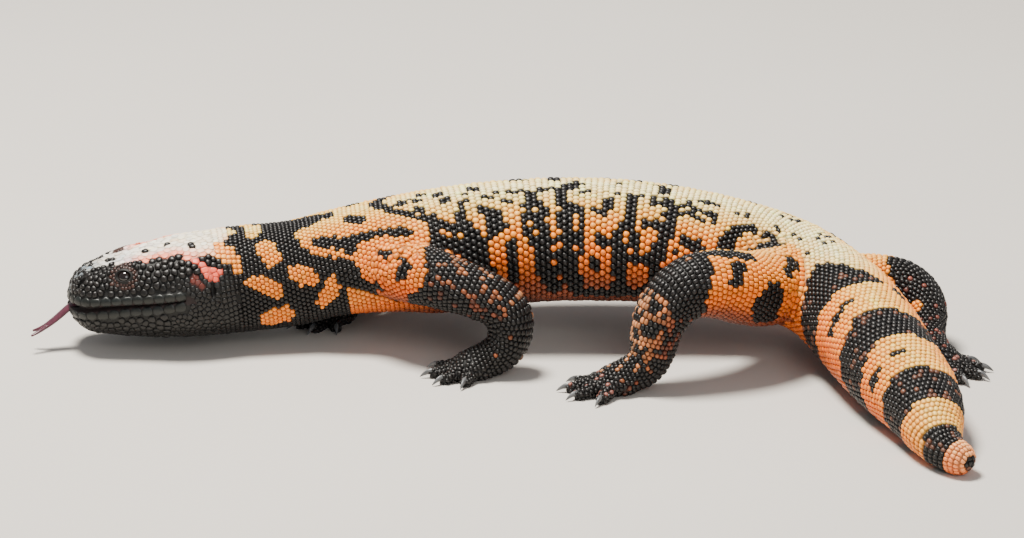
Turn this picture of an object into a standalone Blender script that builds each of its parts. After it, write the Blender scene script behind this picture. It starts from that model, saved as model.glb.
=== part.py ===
"""Gila monster, life size, caught in mid stride.

The left side faces -Y, the head points to -X with the tongue out, and the fat tail bends round to -Y and
lies on the floor. Head, neck, chest, belly, hips and tail are lengths of one lofted body, parted by thin
flat cuts.
Each leg is an upper part, a lower part and a foot, and every toe ends in its own claw.
"""
import bpy
import numpy as np

MM = 0.001

# Gap kept between nodes that meet
GAP = 0.3 * MM

# Line of the body from snout to tail tip, in millimetres:
# x, y, z of the middle, half width, height above the middle, depth below it
SPINE = {
    "snout": (-163, -11, 16.5, 9.5, 10.4, 7.6),
    "nostril": (-157, -10, 17.0, 13.5, 12.8, 9.6),
    "eye": (-142, -8, 17.5, 17.0, 17.0, 12.0),
    "jaw": (-119, -4, 19.0, 22.5, 20.5, 14.4),
    "nape": (-98, -1, 21.0, 20.0, 21.0, 16.2),
    "neck": (-80, 1, 23.0, 19.3, 20.5, 16.7),
    "chest": (-66, 2.4, 25.3, 21.5, 21.2, 15.4),
    "shoulder": (-46, 4, 28.5, 25.5, 22.0, 17.0),
    "armpit": (-28, 5.9, 30.9, 27.0, 22.2, 20.4),
    "ribs": (-8, 8, 33.0, 28.0, 22.0, 20.0),
    "belly": (32, 9, 34.0, 29.0, 22.0, 19.0),
    "loin": (72, 5, 31.5, 26.5, 20.5, 18.0),
    "hip": (100, -3, 27.0, 22.5, 18.5, 17.0),
    "vent": (116, -21, 23.5, 19.5, 17.0, 17.0),
    "tail_root": (127, -50, 19.5, 18.5, 17.0, 18.0),
    "tail_fat": (135, -80, 16.5, 17.0, 15.0, 16.8),
    "tail_slim": (143, -108, 12.5, 13.5, 12.0, 13.1),
    "tail_thin": (145, -122, 10.0, 10.2, 9.2, 10.2),
    "tail_waist": (148, -132.5, 7.4, 7.0, 6.6, 7.6),
    "tail_tip": (156.5, -142, 5.2, 5.0, 4.8, 5.4),
}
SNOUT_ROUND = 9 * MM
TAIL_ROUND = 5 * MM

# How square the section is above and below its middle, where 2 is an ellipse
SQUARE_TOP = {"snout": 2.3, "eye": 2.8, "jaw": 2.6, "neck": 2.2, "belly": 2.1, "tail_tip": 2.0}
SQUARE_BOTTOM = {"snout": 2.2, "eye": 2.4, "jaw": 2.5, "neck": 2.4, "belly": 2.5, "vent": 2.2, "tail_tip": 2.0}

# Flat cuts that part the body, counted along its line from the snout
CUT_NAPE = 62 * MM
CUT_SHOULDER = 98 * MM
CUT_RIBS = 166 * MM
CUT_LOIN = 236 * MM
CUT_VENT = 296 * MM
CUT_TAIL = 362 * MM

# Net of the hide: distance between rings and points round each ring. One point in three is a bead
HEAD_STEP, HEAD_SIDES = 3.3 * MM, 33
TRUNK_STEP, TRUNK_SIDES = 3.7 * MM, 36
TAIL_STEP, TAIL_SIDES = 3.5 * MM, 30
LEG_STEP, LEG_SIDES = 3.9 * MM, 12
HEAD_BEAD = 0.55 * MM
TRUNK_BEAD = 0.8 * MM
BELLY_BEAD = 0.25 * MM
LEG_BEAD = 0.65 * MM
# Depth below the middle of the body at which its beads are down to the height of the belly's
BELLY_DEPTH = 12 * MM
# Width of the strip without beads round the root of a leg
LEG_MARGIN = 2.5 * MM

# Joints of the legs in millimetres: x, y, z, radius. The first lies inside the torso
LEGS = {
    "front_left": {
        "joints": [(-50, -8, 31, 11.5), (-34, -24, 33, 10.8), (-15, -34, 30, 9.2), (-1, -38, 21, 8.4),
                   (-3, -40, 10, 7.2), (-13, -41.5, 5, 6.0)],
        "heading": (-1.0, -0.16),
    },
    "front_right": {
        "joints": [(-50, 12, 29, 11.5), (-44, 29, 31.5, 10.3), (-40, 41.5, 29, 8.4), (-42.5, 46.5, 20, 7.0),
                   (-52, 37, 10.5, 6.4), (-66, 17, 5, 6.0)],
        "heading": (-0.88, -0.47),
    },
    "hind_left": {
        "joints": [(102, -10, 27, 14.5), (84, -37, 32, 13.0), (63, -49, 36, 11.0), (52, -54, 24, 9.2),
                   (48, -56, 10, 7.2), (38, -57.5, 5, 6.0)],
        "heading": (-1.0, -0.10),
    },
    "hind_right": {
        "joints": [(107, -6, 22.5, 12.5), (128, -1, 21, 11.0), (144, -3, 20.5, 9.4), (151, -13, 15.5, 7.8),
                   (151, -25, 9, 6.6), (154, -35, 5, 6.0)],
        "heading": (0.78, -0.63),
    },
}
# Where a leg is parted at elbow or knee and at the wrist or ankle, counted in joints
CUT_ELBOW = 2.55
CUT_WRIST = 3.9

# Toes of each kind of foot: turn from the foot's heading in degrees, and length in millimetres
TOES = {
    "front": [(-66, 8.5), (-32, 11.0), (-2, 12.0), (27, 11.0), (62, 8.5)],
    "hind": [(-60, 9.0), (-30, 12.0), (-3, 13.8), (24, 13.4), (58, 11.0)],
}
# Half sizes of a palm along, across and upward, and how far it sinks into the floor before its sole is cut flat
PALM_SIZE = np.array([8.5, 8.0, 5.4]) * MM
PALM_SINK = 1.2 * MM
# A toe starts this far inside its palm. Share of its reach, then radius and height over its sole in millimetres
TOE_INSIDE = 3 * MM
TOE_SHAPE = [(0.12, 3.0, 3.2), (0.45, 2.9, 3.5), (0.85, 2.27, 1.7), (1.0, 2.1, 1.7)]
TOE_STEP, TOE_SIDES = 4.2 * MM, 7
# Share of a claw's length, then its rise as a share of that length and its share of the radius
CLAW_LENGTH, CLAW_RADIUS = 5.4 * MM, 1.4 * MM
CLAW_SHAPE = [(0.0, 0.0, 1.0), (0.3, 0.02, 0.9), (0.7, -0.02, 0.55), (1.0, -0.19, 0.12)]
CLAW_STEP, CLAW_SIDES = 2.2 * MM, 6
CLAW_CLEAR = 0.15 * MM

# Places on the head: distance along the body, and angle down from the ridge of the back in degrees
EYE_PLACE = (21 * MM, 42)
EYE_RADIUS, EYE_SINK = 2.9 * MM, 1.9 * MM
NOSTRIL_PLACE = (5.6 * MM, 32)
EAR_PLACE = (53 * MM, 76)
# Half sizes of a nostril and an ear hole: level, upward and inward
NOSTRIL_SIZE = np.array([1.1, 1.4, 1.8]) * MM
EAR_SIZE = np.array([1.2, 3.0, 1.8]) * MM
# Rim of the lids: half width, half height, radius of the rim, and how far it stands out
LID_RIM = np.array([3.9, 3.4, 1.0, 0.3]) * MM
LID_POINTS, LID_SIDES = 12, 5
# Ridge over the eye: millimetres behind the eye, degrees above it, radius in millimetres
BROW = [(-9, 5, 1.0), (-4, 11, 1.9), (2, 14, 2.2), (8, 11, 1.4), (12, 7, 0.9)]
BROW_SINK = 1.0 * MM
BROW_STEP, BROW_SIDES = 5 * MM, 6

# Line of the mouth: where it ends, its height over the middle of the head in front and there, and its depth
MOUTH_CORNER = 42 * MM
MOUTH_RISE = np.array([1.2, 4.4]) * MM
MOUTH_DEPTH = 2.6 * MM
MOUTH_POINTS = 9
# Half height of the open mouth inside the lips, at its corners and in front, and how much more outside them
MOUTH_GAPE = np.array([0.25, 1.0]) * MM
MOUTH_FLARE = 1.8
# How far the cut for the mouth reaches out past the lips
MOUTH_REACH = 4 * MM
LIP_OFFSET, LIP_SINK, LIP_RADIUS = 2.3 * MM, 0.9 * MM, 1.5 * MM
LIP_STEP, LIP_SIDES = 6.5 * MM, 5

# Line of the tongue in millimetres, from inside the mouth: x, y, z, half width, half thickness
TONGUE = [(-154, -9.4, 17.8, 2.7, 1.0), (-159.5, -10.8, 17.2, 2.7, 1.0), (-164, -12.0, 14.2, 2.6, 1.0),
          (-168, -13.2, 11.0, 2.4, 0.9), (-171, -14.2, 9.0, 2.1, 0.8)]
TONGUE_FORK = [(-170, -13.9, 9.7, 1.1, 0.75), (-173, -14.8, 8.0, 0.9, 0.6), (-175.5, -15.5, 7.0, 0.5, 0.4)]
TONGUE_STEP, TONGUE_SIDES = 3.5 * MM, 8
# Distance of each joint of a tine from the middle of the fork
FORK_SPREAD = np.array([1.2, 1.8, 2.9]) * MM
TINE_STEP, TINE_SIDES = 2.5 * MM, 6


def natural_cubic(at, values, wanted):
    """The natural cubic spline through values, one row for each number in at, read at wanted."""
    count = len(at)
    step = np.diff(at)
    matrix = np.eye(count)
    right = np.zeros(values.shape)
    for i in range(1, count - 1):
        matrix[i, i - 1 : i + 2] = step[i - 1], 2 * (step[i - 1] + step[i]), step[i]
        right[i] = 6 * ((values[i + 1] - values[i]) / step[i] - (values[i] - values[i - 1]) / step[i - 1])
    bend = np.linalg.solve(matrix, right)
    i = np.clip(np.searchsorted(at, wanted, side="right") - 1, 0, count - 2)
    width = step[i][:, None]
    before = (at[i + 1] - wanted)[:, None] / width
    after = (wanted - at[i])[:, None] / width
    curve = (before**3 - before) * bend[i] + (after**3 - after) * bend[i + 1]
    return before * values[i] + after * values[i + 1] + curve * width**2 / 6


def monotone_cubic(at, values, wanted):
    """A cubic through values that doesn't overshoot them, read at wanted."""
    step = np.diff(at)[:, None]
    rise = np.diff(values, axis=0) / step
    slope = np.zeros_like(values)
    near, far = 2 * step[1:] + step[:-1], step[1:] + 2 * step[:-1]
    same_way = rise[:-1] * rise[1:] > 0
    before, after = np.where(same_way, rise[:-1], 1), np.where(same_way, rise[1:], 1)
    slope[1:-1] = np.where(same_way, (near + far) / (near / before + far / after), 0)
    slope[0], slope[-1] = rise[0], rise[-1]
    i = np.clip(np.searchsorted(at, wanted, side="right") - 1, 0, len(at) - 2)
    width = step[i]
    s = (wanted - at[i])[:, None] / width
    start = (2 * s**3 - 3 * s**2 + 1) * values[i] + (s**3 - 2 * s**2 + s) * width * slope[i]
    return start + (3 * s**2 - 2 * s**3) * values[i + 1] + (s**3 - s**2) * width * slope[i + 1]


def chord_lengths(points):
    """Distance along the points, from the first."""
    return np.concatenate([[0.0], np.cumsum(np.linalg.norm(np.diff(points, axis=0), axis=1))])


def unit(vectors):
    return vectors / np.linalg.norm(vectors, axis=-1, keepdims=True)


STATIONS = list(SPINE)
AXIS = np.array([SPINE[name][:3] for name in STATIONS]) * MM
GIRTH = np.array([SPINE[name][3:] for name in STATIONS]) * MM
ALONG = chord_lengths(AXIS)
LENGTH = ALONG[-1]


def station_values(table, u):
    """Values given at some stations, read along the body."""
    at = np.array([ALONG[STATIONS.index(name)] for name in table])
    return np.interp(u, at, list(table.values()))


def end_rounding(distance, radius):
    """Share of the full girth at a distance from a rounded end."""
    inside = np.clip(distance / radius, 0, 1)
    return np.sqrt(1 - (1 - inside) ** 2)


def body_frame(u):
    """Middle, left, up and the three half sizes of the body at distances u from the snout."""
    u = np.atleast_1d(np.asarray(u, float))
    little = 0.5 * MM
    middle = natural_cubic(ALONG, AXIS, u)
    ahead = unit(natural_cubic(ALONG, AXIS, u + little) - natural_cubic(ALONG, AXIS, u - little))
    left = unit(np.cross(ahead, (0, 0, 1)))
    up = np.cross(left, ahead)
    sizes = monotone_cubic(ALONG, GIRTH, np.clip(u, 0, LENGTH))
    share = end_rounding(u, SNOUT_ROUND) * end_rounding(LENGTH - u, TAIL_ROUND)
    return middle, left, up, sizes * share[:, None]


def section(angle, half_width, top, bottom, power_top, power_bottom):
    """Sideways and upward offset at an angle in radians from the ridge of the back, positive to the left."""
    upper = np.cos(angle) >= 0
    power = 2 / np.where(upper, power_top, power_bottom)
    height = np.where(upper, top, bottom)
    side = half_width * np.sign(np.sin(angle)) * np.abs(np.sin(angle)) ** power
    return side, height * np.sign(np.cos(angle)) * np.abs(np.cos(angle)) ** power


def body_point(u, degrees):
    """Point on the plain body at distance u and an angle down from the ridge, positive to the left."""
    middle, left, up, sizes = body_frame(u)
    powers = station_values(SQUARE_TOP, u), station_values(SQUARE_BOTTOM, u)
    side, height = section(np.radians(degrees), *sizes[0], *powers)
    return middle[0] + left[0] * side + up[0] * height


def body_outward(u, degrees):
    """Outward direction of the plain body at a place."""
    along = body_point(u + 0.5 * MM, degrees) - body_point(u - 0.5 * MM, degrees)
    around = body_point(u, degrees + 1) - body_point(u, degrees - 1)
    return unit(np.cross(around, along))


def body_ring(u, sides, half_step):
    """Points spread evenly round the section at u, from the ridge to the left."""
    middle, left, up, sizes = body_frame(u)
    powers = station_values(SQUARE_TOP, u), station_values(SQUARE_BOTTOM, u)
    side, height = section(np.linspace(0, 2 * np.pi, 361), *sizes[0], *powers)
    run = chord_lengths(np.stack([side, height], 1))
    wanted = (np.arange(sides) + 0.5 * half_step) * run[-1] / sides
    side, height = np.interp(wanted, run, side), np.interp(wanted, run, height)
    return middle[0] + np.outer(side, left[0]) + np.outer(height, up[0])


def limb_path(joints, wanted):
    """Middle, direction and radii at distances along a curve through the joints."""
    at = chord_lengths(joints[:, :3])
    little = 0.2 * MM
    middle = natural_cubic(at, joints[:, :3], wanted)
    ahead = unit(natural_cubic(at, joints[:, :3], wanted + little)
                 - natural_cubic(at, joints[:, :3], wanted - little))
    return middle, ahead, monotone_cubic(at, joints[:, 3:], np.clip(wanted, 0, at[-1]))


def limb_rings(joints, wanted, sides, across=(0, 0, 1)):
    """Rings round a curve through the joints. With two radii, the second lies along the given direction."""
    middle, ahead, radii = limb_path(joints, wanted)
    rings = []
    other = np.array(across, float)
    for i in range(len(wanted)):
        other = unit(other - ahead[i] * (other @ ahead[i]))
        side = np.cross(other, ahead[i])
        angle = (np.arange(sides) + 0.5 * (i % 2)) * 2 * np.pi / sides
        rings.append(middle[i] + np.outer(np.cos(angle) * radii[i, 0], side)
                     + np.outer(np.sin(angle) * radii[i, -1], other))
    return rings


def tube_mesh(rings, first_end, last_end):
    """Vertices and faces of a closed tube of staggered rings, each end closed round one point."""
    count, sides = len(rings), len(rings[0])
    points = np.concatenate([*rings, [first_end, last_end]])
    faces = []
    for i in range(count - 1):
        for j in range(sides):
            here, right = i * sides + j, i * sides + (j + 1) % sides
            over, over_right = here + sides, right + sides
            if i % 2:
                faces += [(here, over_right, over), (here, right, over_right)]
            else:
                faces += [(here, right, over), (right, over_right, over)]
    for j in range(sides):
        k = (j + 1) % sides
        faces.append((count * sides, k, j))
        faces.append((count * sides + 1, (count - 1) * sides + j, (count - 1) * sides + k))
    faces = np.array(faces)
    corners = points[faces]
    volume = np.einsum("ij,ij->i", corners[:, 0], np.cross(corners[:, 1], corners[:, 2])).sum()
    return points, faces if volume > 0 else faces[:, ::-1]


def vertex_normals(points, faces):
    """Outward direction at each vertex, weighed by the faces round it."""
    corners = points[faces]
    area = np.cross(corners[:, 1] - corners[:, 0], corners[:, 2] - corners[:, 0])
    total = np.zeros_like(points)
    for k in range(3):
        np.add.at(total, faces[:, k], area)
    return unit(total)


def with_beads(points, faces, sides, heights):
    """Raises one vertex in three of a tube, never two neighbours and none on its end rings."""
    ring_count = (len(points) - 2) // sides
    ring, place = np.divmod(np.arange(ring_count * sides), sides)
    chosen = (place - ring // 2 - ring) % 3 == 0
    chosen &= (ring > 0) & (ring < ring_count - 1)
    lift = np.where(chosen, heights, 0)
    raised = points.copy()
    raised[:-2] += vertex_normals(points, faces)[:-2] * lift[:, None]
    return raised


def off_floor(points):
    """The same points, with what would reach under the floor laid flat on it."""
    flat = points.copy()
    flat[:, 2] = np.maximum(flat[:, 2], 0)
    return flat


def away_from_legs(points):
    """Share of the bead height left at each point, which is none where a leg grows out of the body."""
    share = np.ones(len(points))
    for leg in LEGS.values():
        joints = np.array(leg["joints"])[:2] * MM
        line = joints[1, :3] - joints[0, :3]
        along = np.clip((points - joints[0, :3]) @ line / (line @ line), 0, 1.2)
        away = np.linalg.norm(points - joints[0, :3] - along[:, None] * line, axis=1)
        share[away < joints[:, 3].max() + LEG_MARGIN] = 0
    return share


def ring_places(start, end, step):
    """Distances along the body for rings a step apart on its surface, so closer where an end rounds off."""
    fine = np.linspace(start, end, 600)
    run = chord_lengths(np.stack([fine, body_frame(fine)[3][:, 0]], 1))
    count = max(2, round(run[-1] / step))
    return np.interp(np.linspace(0, run[-1], count + 1), run, fine)


def body_length(start, end, step, sides, bead):
    """Closed mesh of the body between two distances, with its beads."""
    places = ring_places(start, end, step)
    rings = [body_ring(u, sides, i % 2) for i, u in enumerate(places)]
    first = body_frame(start)[0][0] if start > SNOUT_ROUND else body_frame(0)[0][0]
    last = body_frame(end)[0][0] if end < LENGTH - TAIL_ROUND else body_frame(LENGTH)[0][0]
    points, faces = tube_mesh(rings, first, last)
    middle = np.repeat([body_frame(u)[0][0, 2] for u in places], sides)
    under = np.clip((middle - points[:-2, 2]) / BELLY_DEPTH, 0, 1)
    at_ends = end_rounding(places, SNOUT_ROUND) * end_rounding(LENGTH - places, TAIL_ROUND * 2)
    heights = (bead + (BELLY_BEAD - bead) * under) * away_from_legs(points[:-2]) * np.repeat(at_ends**2, sides)
    return off_floor(with_beads(points, faces, sides, heights)), faces


def material(name, colour, roughness):
    made = bpy.data.materials.new(name)
    made.use_nodes = True
    shader = made.node_tree.nodes["Principled BSDF"]
    shader.inputs["Base Color"].default_value = (*colour, 1)
    shader.inputs["Roughness"].default_value = roughness
    shader.inputs["Metallic"].default_value = 0
    made.diffuse_color = (*colour, 1)
    return made


def mesh_object(name, points, faces, finish):
    mesh = bpy.data.meshes.new(name)
    mesh.from_pydata([tuple(p) for p in points], [], [tuple(int(v) for v in f) for f in faces])
    mesh.shade_smooth()
    mesh.materials.append(finish)
    made = bpy.data.objects.new(name, mesh)
    bpy.context.scene.collection.objects.link(made)
    return made


def apply_boolean(target, operation, others, solver):
    """One Boolean of the target with a collection of closed meshes, which are then removed."""
    group = bpy.data.collections.new("operands")
    bpy.context.scene.collection.children.link(group)
    for other in others:
        bpy.context.scene.collection.objects.unlink(other)
        group.objects.link(other)
    boolean = target.modifiers.new("Boolean", "BOOLEAN")
    boolean.operation = operation
    boolean.operand_type = "COLLECTION"
    boolean.collection = group
    boolean.solver = solver
    bpy.context.view_layer.update()
    graph = bpy.context.evaluated_depsgraph_get()
    mesh = bpy.data.meshes.new_from_object(target.evaluated_get(graph))
    target.modifiers.clear()
    target.data = mesh
    for other in others:
        bpy.data.objects.remove(other)
    bpy.data.collections.remove(group)


def keep_largest(target):
    """Drops every closed surface of the target but the one with the most volume."""
    mesh = target.data
    mesh.calc_loop_triangles()
    points = np.array([v.co for v in mesh.vertices])
    triangles = np.array([t.vertices for t in mesh.loop_triangles])
    owner = np.arange(len(points))
    settled = False
    while not settled:
        least = owner[triangles].min(1)
        before = owner.copy()
        for k in range(3):
            np.minimum.at(owner, triangles[:, k], least)
        owner = owner[owner]
        settled = np.array_equal(before, owner)
    group = owner[triangles[:, 0]]
    names = np.unique(group)
    if len(names) == 1:
        return
    corners = points[triangles]
    volume = np.einsum("ij,ij->i", corners[:, 0], np.cross(corners[:, 1], corners[:, 2]))
    best = max(names, key=lambda name: volume[group == name].sum())
    used, index = np.unique(triangles[group == best], return_inverse=True)
    made = mesh_object("kept", points[used], index.reshape(-1, 3), mesh.materials[0])
    target.data = made.data
    bpy.data.objects.remove(made)


def join(target, pieces, solver="MANIFOLD"):
    apply_boolean(target, "UNION", pieces, solver)
    keep_largest(target)


def cut(target, cutters, solver="MANIFOLD"):
    apply_boolean(target, "DIFFERENCE", cutters, solver)
    keep_largest(target)


def limb_mesh(joints, start, end, step, sides, bead, across=(0, 0, 1)):
    """Closed mesh of a limb between two distances along it."""
    count = max(2, round((end - start) / step))
    wanted = np.linspace(start, end, count + 1)
    middle = limb_path(joints, wanted)[0]
    points, faces = tube_mesh(limb_rings(joints, wanted, sides, across), middle[0], middle[-1])
    return with_beads(points, faces, sides, bead), faces


def ellipsoid(name, middle, radii, axes, finish, sides=11, rows=6):
    """Closed ball with three radii along three directions, the last one through its poles."""
    rows_at = np.pi * np.arange(1, rows) / rows
    rings = []
    for i, polar in enumerate(rows_at):
        angle = (np.arange(sides) + 0.5 * (i % 2)) * 2 * np.pi / sides
        offset = np.stack([np.cos(angle) * np.sin(polar), np.sin(angle) * np.sin(polar),
                           np.full(sides, np.cos(polar))], 1)
        rings.append(middle + (offset * radii) @ axes)
    pole = axes[2] * radii[2]
    points, faces = tube_mesh(rings, middle + pole, middle - pole)
    return mesh_object(name, points, faces, finish)


def frame_towards(outward, up=(0, 0, 1)):
    """Three directions: level, upward and outward, for a detail that sits on a surface."""
    level = unit(np.cross(np.array(up, float), outward))
    return np.array([level, np.cross(outward, level), outward])


def round_tube(name, joints, sides, step, finish, across=(0, 0, 1)):
    """Closed tube through joints given with one or two radii, from end to end."""
    length = chord_lengths(joints[:, :3])[-1]
    points, faces = limb_mesh(joints, 0, length, step, sides, 0, across)
    return mesh_object(name, points, faces, finish)


def closed_loop(name, centres, radius, sides, finish):
    """Closed ring of a thin round tube through centres that come back to the first."""
    count = len(centres)
    middle = centres.mean(0)
    rings = []
    for i in range(count):
        ahead = unit(centres[(i + 1) % count] - centres[i - 1])
        out = centres[i] - middle
        out = unit(out - ahead * (out @ ahead))
        other = np.cross(ahead, out)
        angle = np.arange(sides) * 2 * np.pi / sides
        rings.append(centres[i] + radius * (np.outer(np.cos(angle), out) + np.outer(np.sin(angle), other)))
    points = np.concatenate(rings)
    faces = []
    for i in range(count):
        for j in range(sides):
            here, right = i * sides + j, i * sides + (j + 1) % sides
            over, over_right = ((i + 1) % count) * sides + j, ((i + 1) % count) * sides + (j + 1) % sides
            faces += [(here, right, over_right), (here, over_right, over)]
    corners = points[np.array(faces)]
    if np.einsum("ij,ij->i", corners[:, 0], np.cross(corners[:, 1], corners[:, 2])).sum() < 0:
        faces = [face[::-1] for face in faces]
    return mesh_object(name, points, faces, finish)


def mouth_angle(u):
    """Angle from the ridge down to the line of the mouth."""
    rise = MOUTH_RISE[0] + (MOUTH_RISE[1] - MOUTH_RISE[0]) * u / MOUTH_CORNER
    share = np.clip(rise / body_frame(u)[3][0, 1], 0, 1)
    return np.degrees(np.arccos(share ** (station_values(SQUARE_TOP, u) / 2)))


def mouth_line(offset_up, inward):
    """Points along the lips from the left corner of the mouth round the snout to the right corner."""
    places = np.linspace(MOUTH_CORNER, 1.2 * MM, MOUTH_POINTS)
    line = []
    for u, side in [(u, 1) for u in places] + [(u, -1) for u in places[::-1]]:
        degrees = side * mouth_angle(u)
        outward = unit(body_outward(u, degrees) * (1, 1, 0))
        line.append(body_point(u, degrees) - outward * inward + np.array([0, 0, offset_up]))
    return np.array(line)


def mouth_cutter(finish):
    """Ribbon that cuts the line of the mouth: deep and open at the front, fine at the corners."""
    inner, outer = mouth_line(0, MOUTH_DEPTH), mouth_line(0, -MOUTH_REACH)
    count = len(inner)
    from_corner = 1 - np.abs(np.linspace(-1, 1, count))
    half = MOUTH_GAPE[0] + (MOUTH_GAPE[1] - MOUTH_GAPE[0]) * from_corner**2
    wide = half * MOUTH_FLARE
    rings = [np.array([inner[i] + (0, 0, half[i]), outer[i] + (0, 0, wide[i]),
                       outer[i] - (0, 0, wide[i]), inner[i] - (0, 0, half[i])]) for i in range(count)]
    points = np.concatenate(rings)
    faces = []
    for i in range(count - 1):
        for j in range(4):
            k = (j + 1) % 4
            faces += [(4 * i + j, 4 * i + k, 4 * i + 4 + k), (4 * i + j, 4 * i + 4 + k, 4 * i + 4 + j)]
    last = 4 * (count - 1)
    faces += [(0, 2, 1), (0, 3, 2), (last, last + 1, last + 2), (last, last + 2, last + 3)]
    corners = points[np.array(faces)]
    if np.einsum("ij,ij->i", corners[:, 0], np.cross(corners[:, 1], corners[:, 2])).sum() < 0:
        faces = [face[::-1] for face in faces]
    return mesh_object("mouth_cutter", points, faces, finish)


def lip(name, offset_up, finish):
    """Low rounded ridge along one lip."""
    line = mouth_line(offset_up, LIP_SINK)
    radius = np.full(len(line), LIP_RADIUS)
    radius[[0, -1]] = LIP_RADIUS / 2
    return round_tube(name, np.column_stack([line, radius]), LIP_SIDES, LIP_STEP, finish)


def eye_middle(side):
    u, degrees = EYE_PLACE
    return body_point(u, side * degrees) - body_outward(u, side * degrees) * EYE_SINK


def lid_ring(name, side, finish):
    """Raised rim of the lids round one eye."""
    u, degrees = EYE_PLACE
    level, upward, outward = frame_towards(body_outward(u, side * degrees))
    half_width, half_height, radius, stand_out = LID_RIM
    turn = np.linspace(0, 2 * np.pi, LID_POINTS, endpoint=False)
    rim = body_point(u, side * degrees) + outward * stand_out
    centres = rim + np.outer(np.cos(turn) * half_width, level) + np.outer(np.sin(turn) * half_height, upward)
    return closed_loop(name, centres, radius, LID_SIDES, finish)


def brow(name, side, finish):
    """Low ridge over one eye."""
    joints = []
    for behind, above, radius in BROW:
        u, degrees = EYE_PLACE[0] + behind * MM, side * (EYE_PLACE[1] - above)
        joints.append((*(body_point(u, degrees) - body_outward(u, degrees) * BROW_SINK), radius * MM))
    return round_tube(name, np.array(joints), BROW_SIDES, BROW_STEP, finish)


def pit(name, place, side, radii, finish):
    """Cutter for a nostril or an ear."""
    u, degrees = place
    outward = body_outward(u, side * degrees)
    return ellipsoid(name, body_point(u, side * degrees), radii, frame_towards(outward), finish, 8, 5)


def tongue_solid(name, clearance, finish):
    """The forked tongue, or with a clearance the slot that it lies in."""
    joints = np.array(TONGUE, float) * MM
    joints[:, 3:] += clearance
    tongue = round_tube(name, joints, TONGUE_SIDES, TONGUE_STEP, finish)
    if clearance:
        return tongue
    tines = []
    for side in (-1, 1):
        tine = np.array(TONGUE_FORK, float) * MM
        tine[:, 1] += side * FORK_SPREAD
        tines.append(round_tube(f"tine_{side}", tine, TINE_SIDES, TINE_STEP, finish))
    join(tongue, tines)
    return tongue


def make_head(finish):
    points, faces = body_length(0.2 * MM, CUT_NAPE - GAP / 2, HEAD_STEP, HEAD_SIDES, HEAD_BEAD)
    head = mesh_object("head", points, faces, finish)
    pieces = [lip("upper_lip", LIP_OFFSET, finish), lip("lower_lip", -LIP_OFFSET, finish)]
    for side in (-1, 1):
        pieces += [lid_ring(f"lids_{side}", side, finish), brow(f"brow_{side}", side, finish)]
    join(head, pieces)
    cutters = [mouth_cutter(finish), tongue_solid("tongue_slot", GAP, finish)]
    for side in (-1, 1):
        cutters.append(ellipsoid(f"socket_{side}", eye_middle(side), np.full(3, EYE_RADIUS + GAP),
                                 np.eye(3), finish))
        cutters.append(pit(f"nostril_{side}", NOSTRIL_PLACE, side, NOSTRIL_SIZE, finish))
        cutters.append(pit(f"ear_{side}", EAR_PLACE, side, EAR_SIZE, finish))
    cut(head, cutters)
    return head


def make_body_lengths(finish):
    """Neck, the three lengths of the torso, and the tail."""
    lengths = {
        "neck": (CUT_NAPE, CUT_SHOULDER, TRUNK_STEP, TRUNK_SIDES),
        "chest": (CUT_SHOULDER, CUT_RIBS, TRUNK_STEP, TRUNK_SIDES),
        "belly": (CUT_RIBS, CUT_LOIN, TRUNK_STEP, TRUNK_SIDES),
        "hips": (CUT_LOIN, CUT_VENT, TRUNK_STEP, TRUNK_SIDES),
        "tail_base": (CUT_VENT, CUT_TAIL, TAIL_STEP, TAIL_SIDES),
    }
    for name, (start, end, step, sides) in lengths.items():
        points, faces = body_length(start + GAP / 2, end - GAP / 2, step, sides, TRUNK_BEAD)
        mesh_object(name, points, faces, finish)
    points, faces = body_length(CUT_TAIL + GAP / 2, LENGTH - 0.3 * MM, TAIL_STEP, TAIL_SIDES, TRUNK_BEAD)
    mesh_object("tail_end", points, faces, finish)


def body_cutter(name, finish):
    """A node of the body, larger all over by the gap, to cut a leg clear of it."""
    mesh = bpy.data.objects[name].data
    points = np.array([v.co for v in mesh.vertices])
    faces = np.array([p.vertices for p in mesh.polygons])
    return mesh_object("clear_" + name, points + vertex_normals(points, faces) * GAP * 1.2, faces, finish)


def floor_cutter(finish):
    """Block whose top is the floor, to flatten a sole."""
    reach, depth = 0.3, 0.02
    corners = np.array([(x, y, z) for z in (-depth, 0) for y in (-reach, reach) for x in (-reach, reach)])
    faces = [(0, 2, 3), (0, 3, 1), (4, 5, 7), (4, 7, 6), (0, 1, 5), (0, 5, 4),
             (2, 6, 7), (2, 7, 3), (0, 4, 6), (0, 6, 2), (1, 3, 7), (1, 7, 5)]
    return mesh_object("below_floor", corners, faces, finish)


def leg_distance(leg, joint):
    """Distance along a leg at a joint number, which may lie between two joints."""
    at = chord_lengths(np.array(leg["joints"])[:, :3] * MM)
    return np.interp(joint, np.arange(len(at)), at)


def toe_lines(name, leg):
    """For each toe of a foot: its direction on the floor, and its joints from the palm to its end."""
    palm = np.array(leg["joints"][-1][:3]) * MM
    heading = unit(np.array([*leg["heading"], 0.0]))
    mirrored = 1 if name.endswith("left") else -1
    kind = name.split("_")[0]
    lines = []
    for turn, length in TOES[kind]:
        angle = np.radians(turn) * mirrored
        ahead = np.array([heading[0] * np.cos(angle) - heading[1] * np.sin(angle),
                          heading[0] * np.sin(angle) + heading[1] * np.cos(angle), 0.0])
        reach = length * MM + TOE_INSIDE
        joints = []
        for share, radius, height in TOE_SHAPE:
            joints.append((*(palm + ahead * reach * share)[:2], height * MM, radius * MM))
        lines.append((ahead, np.array(joints)))
    return lines


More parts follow.
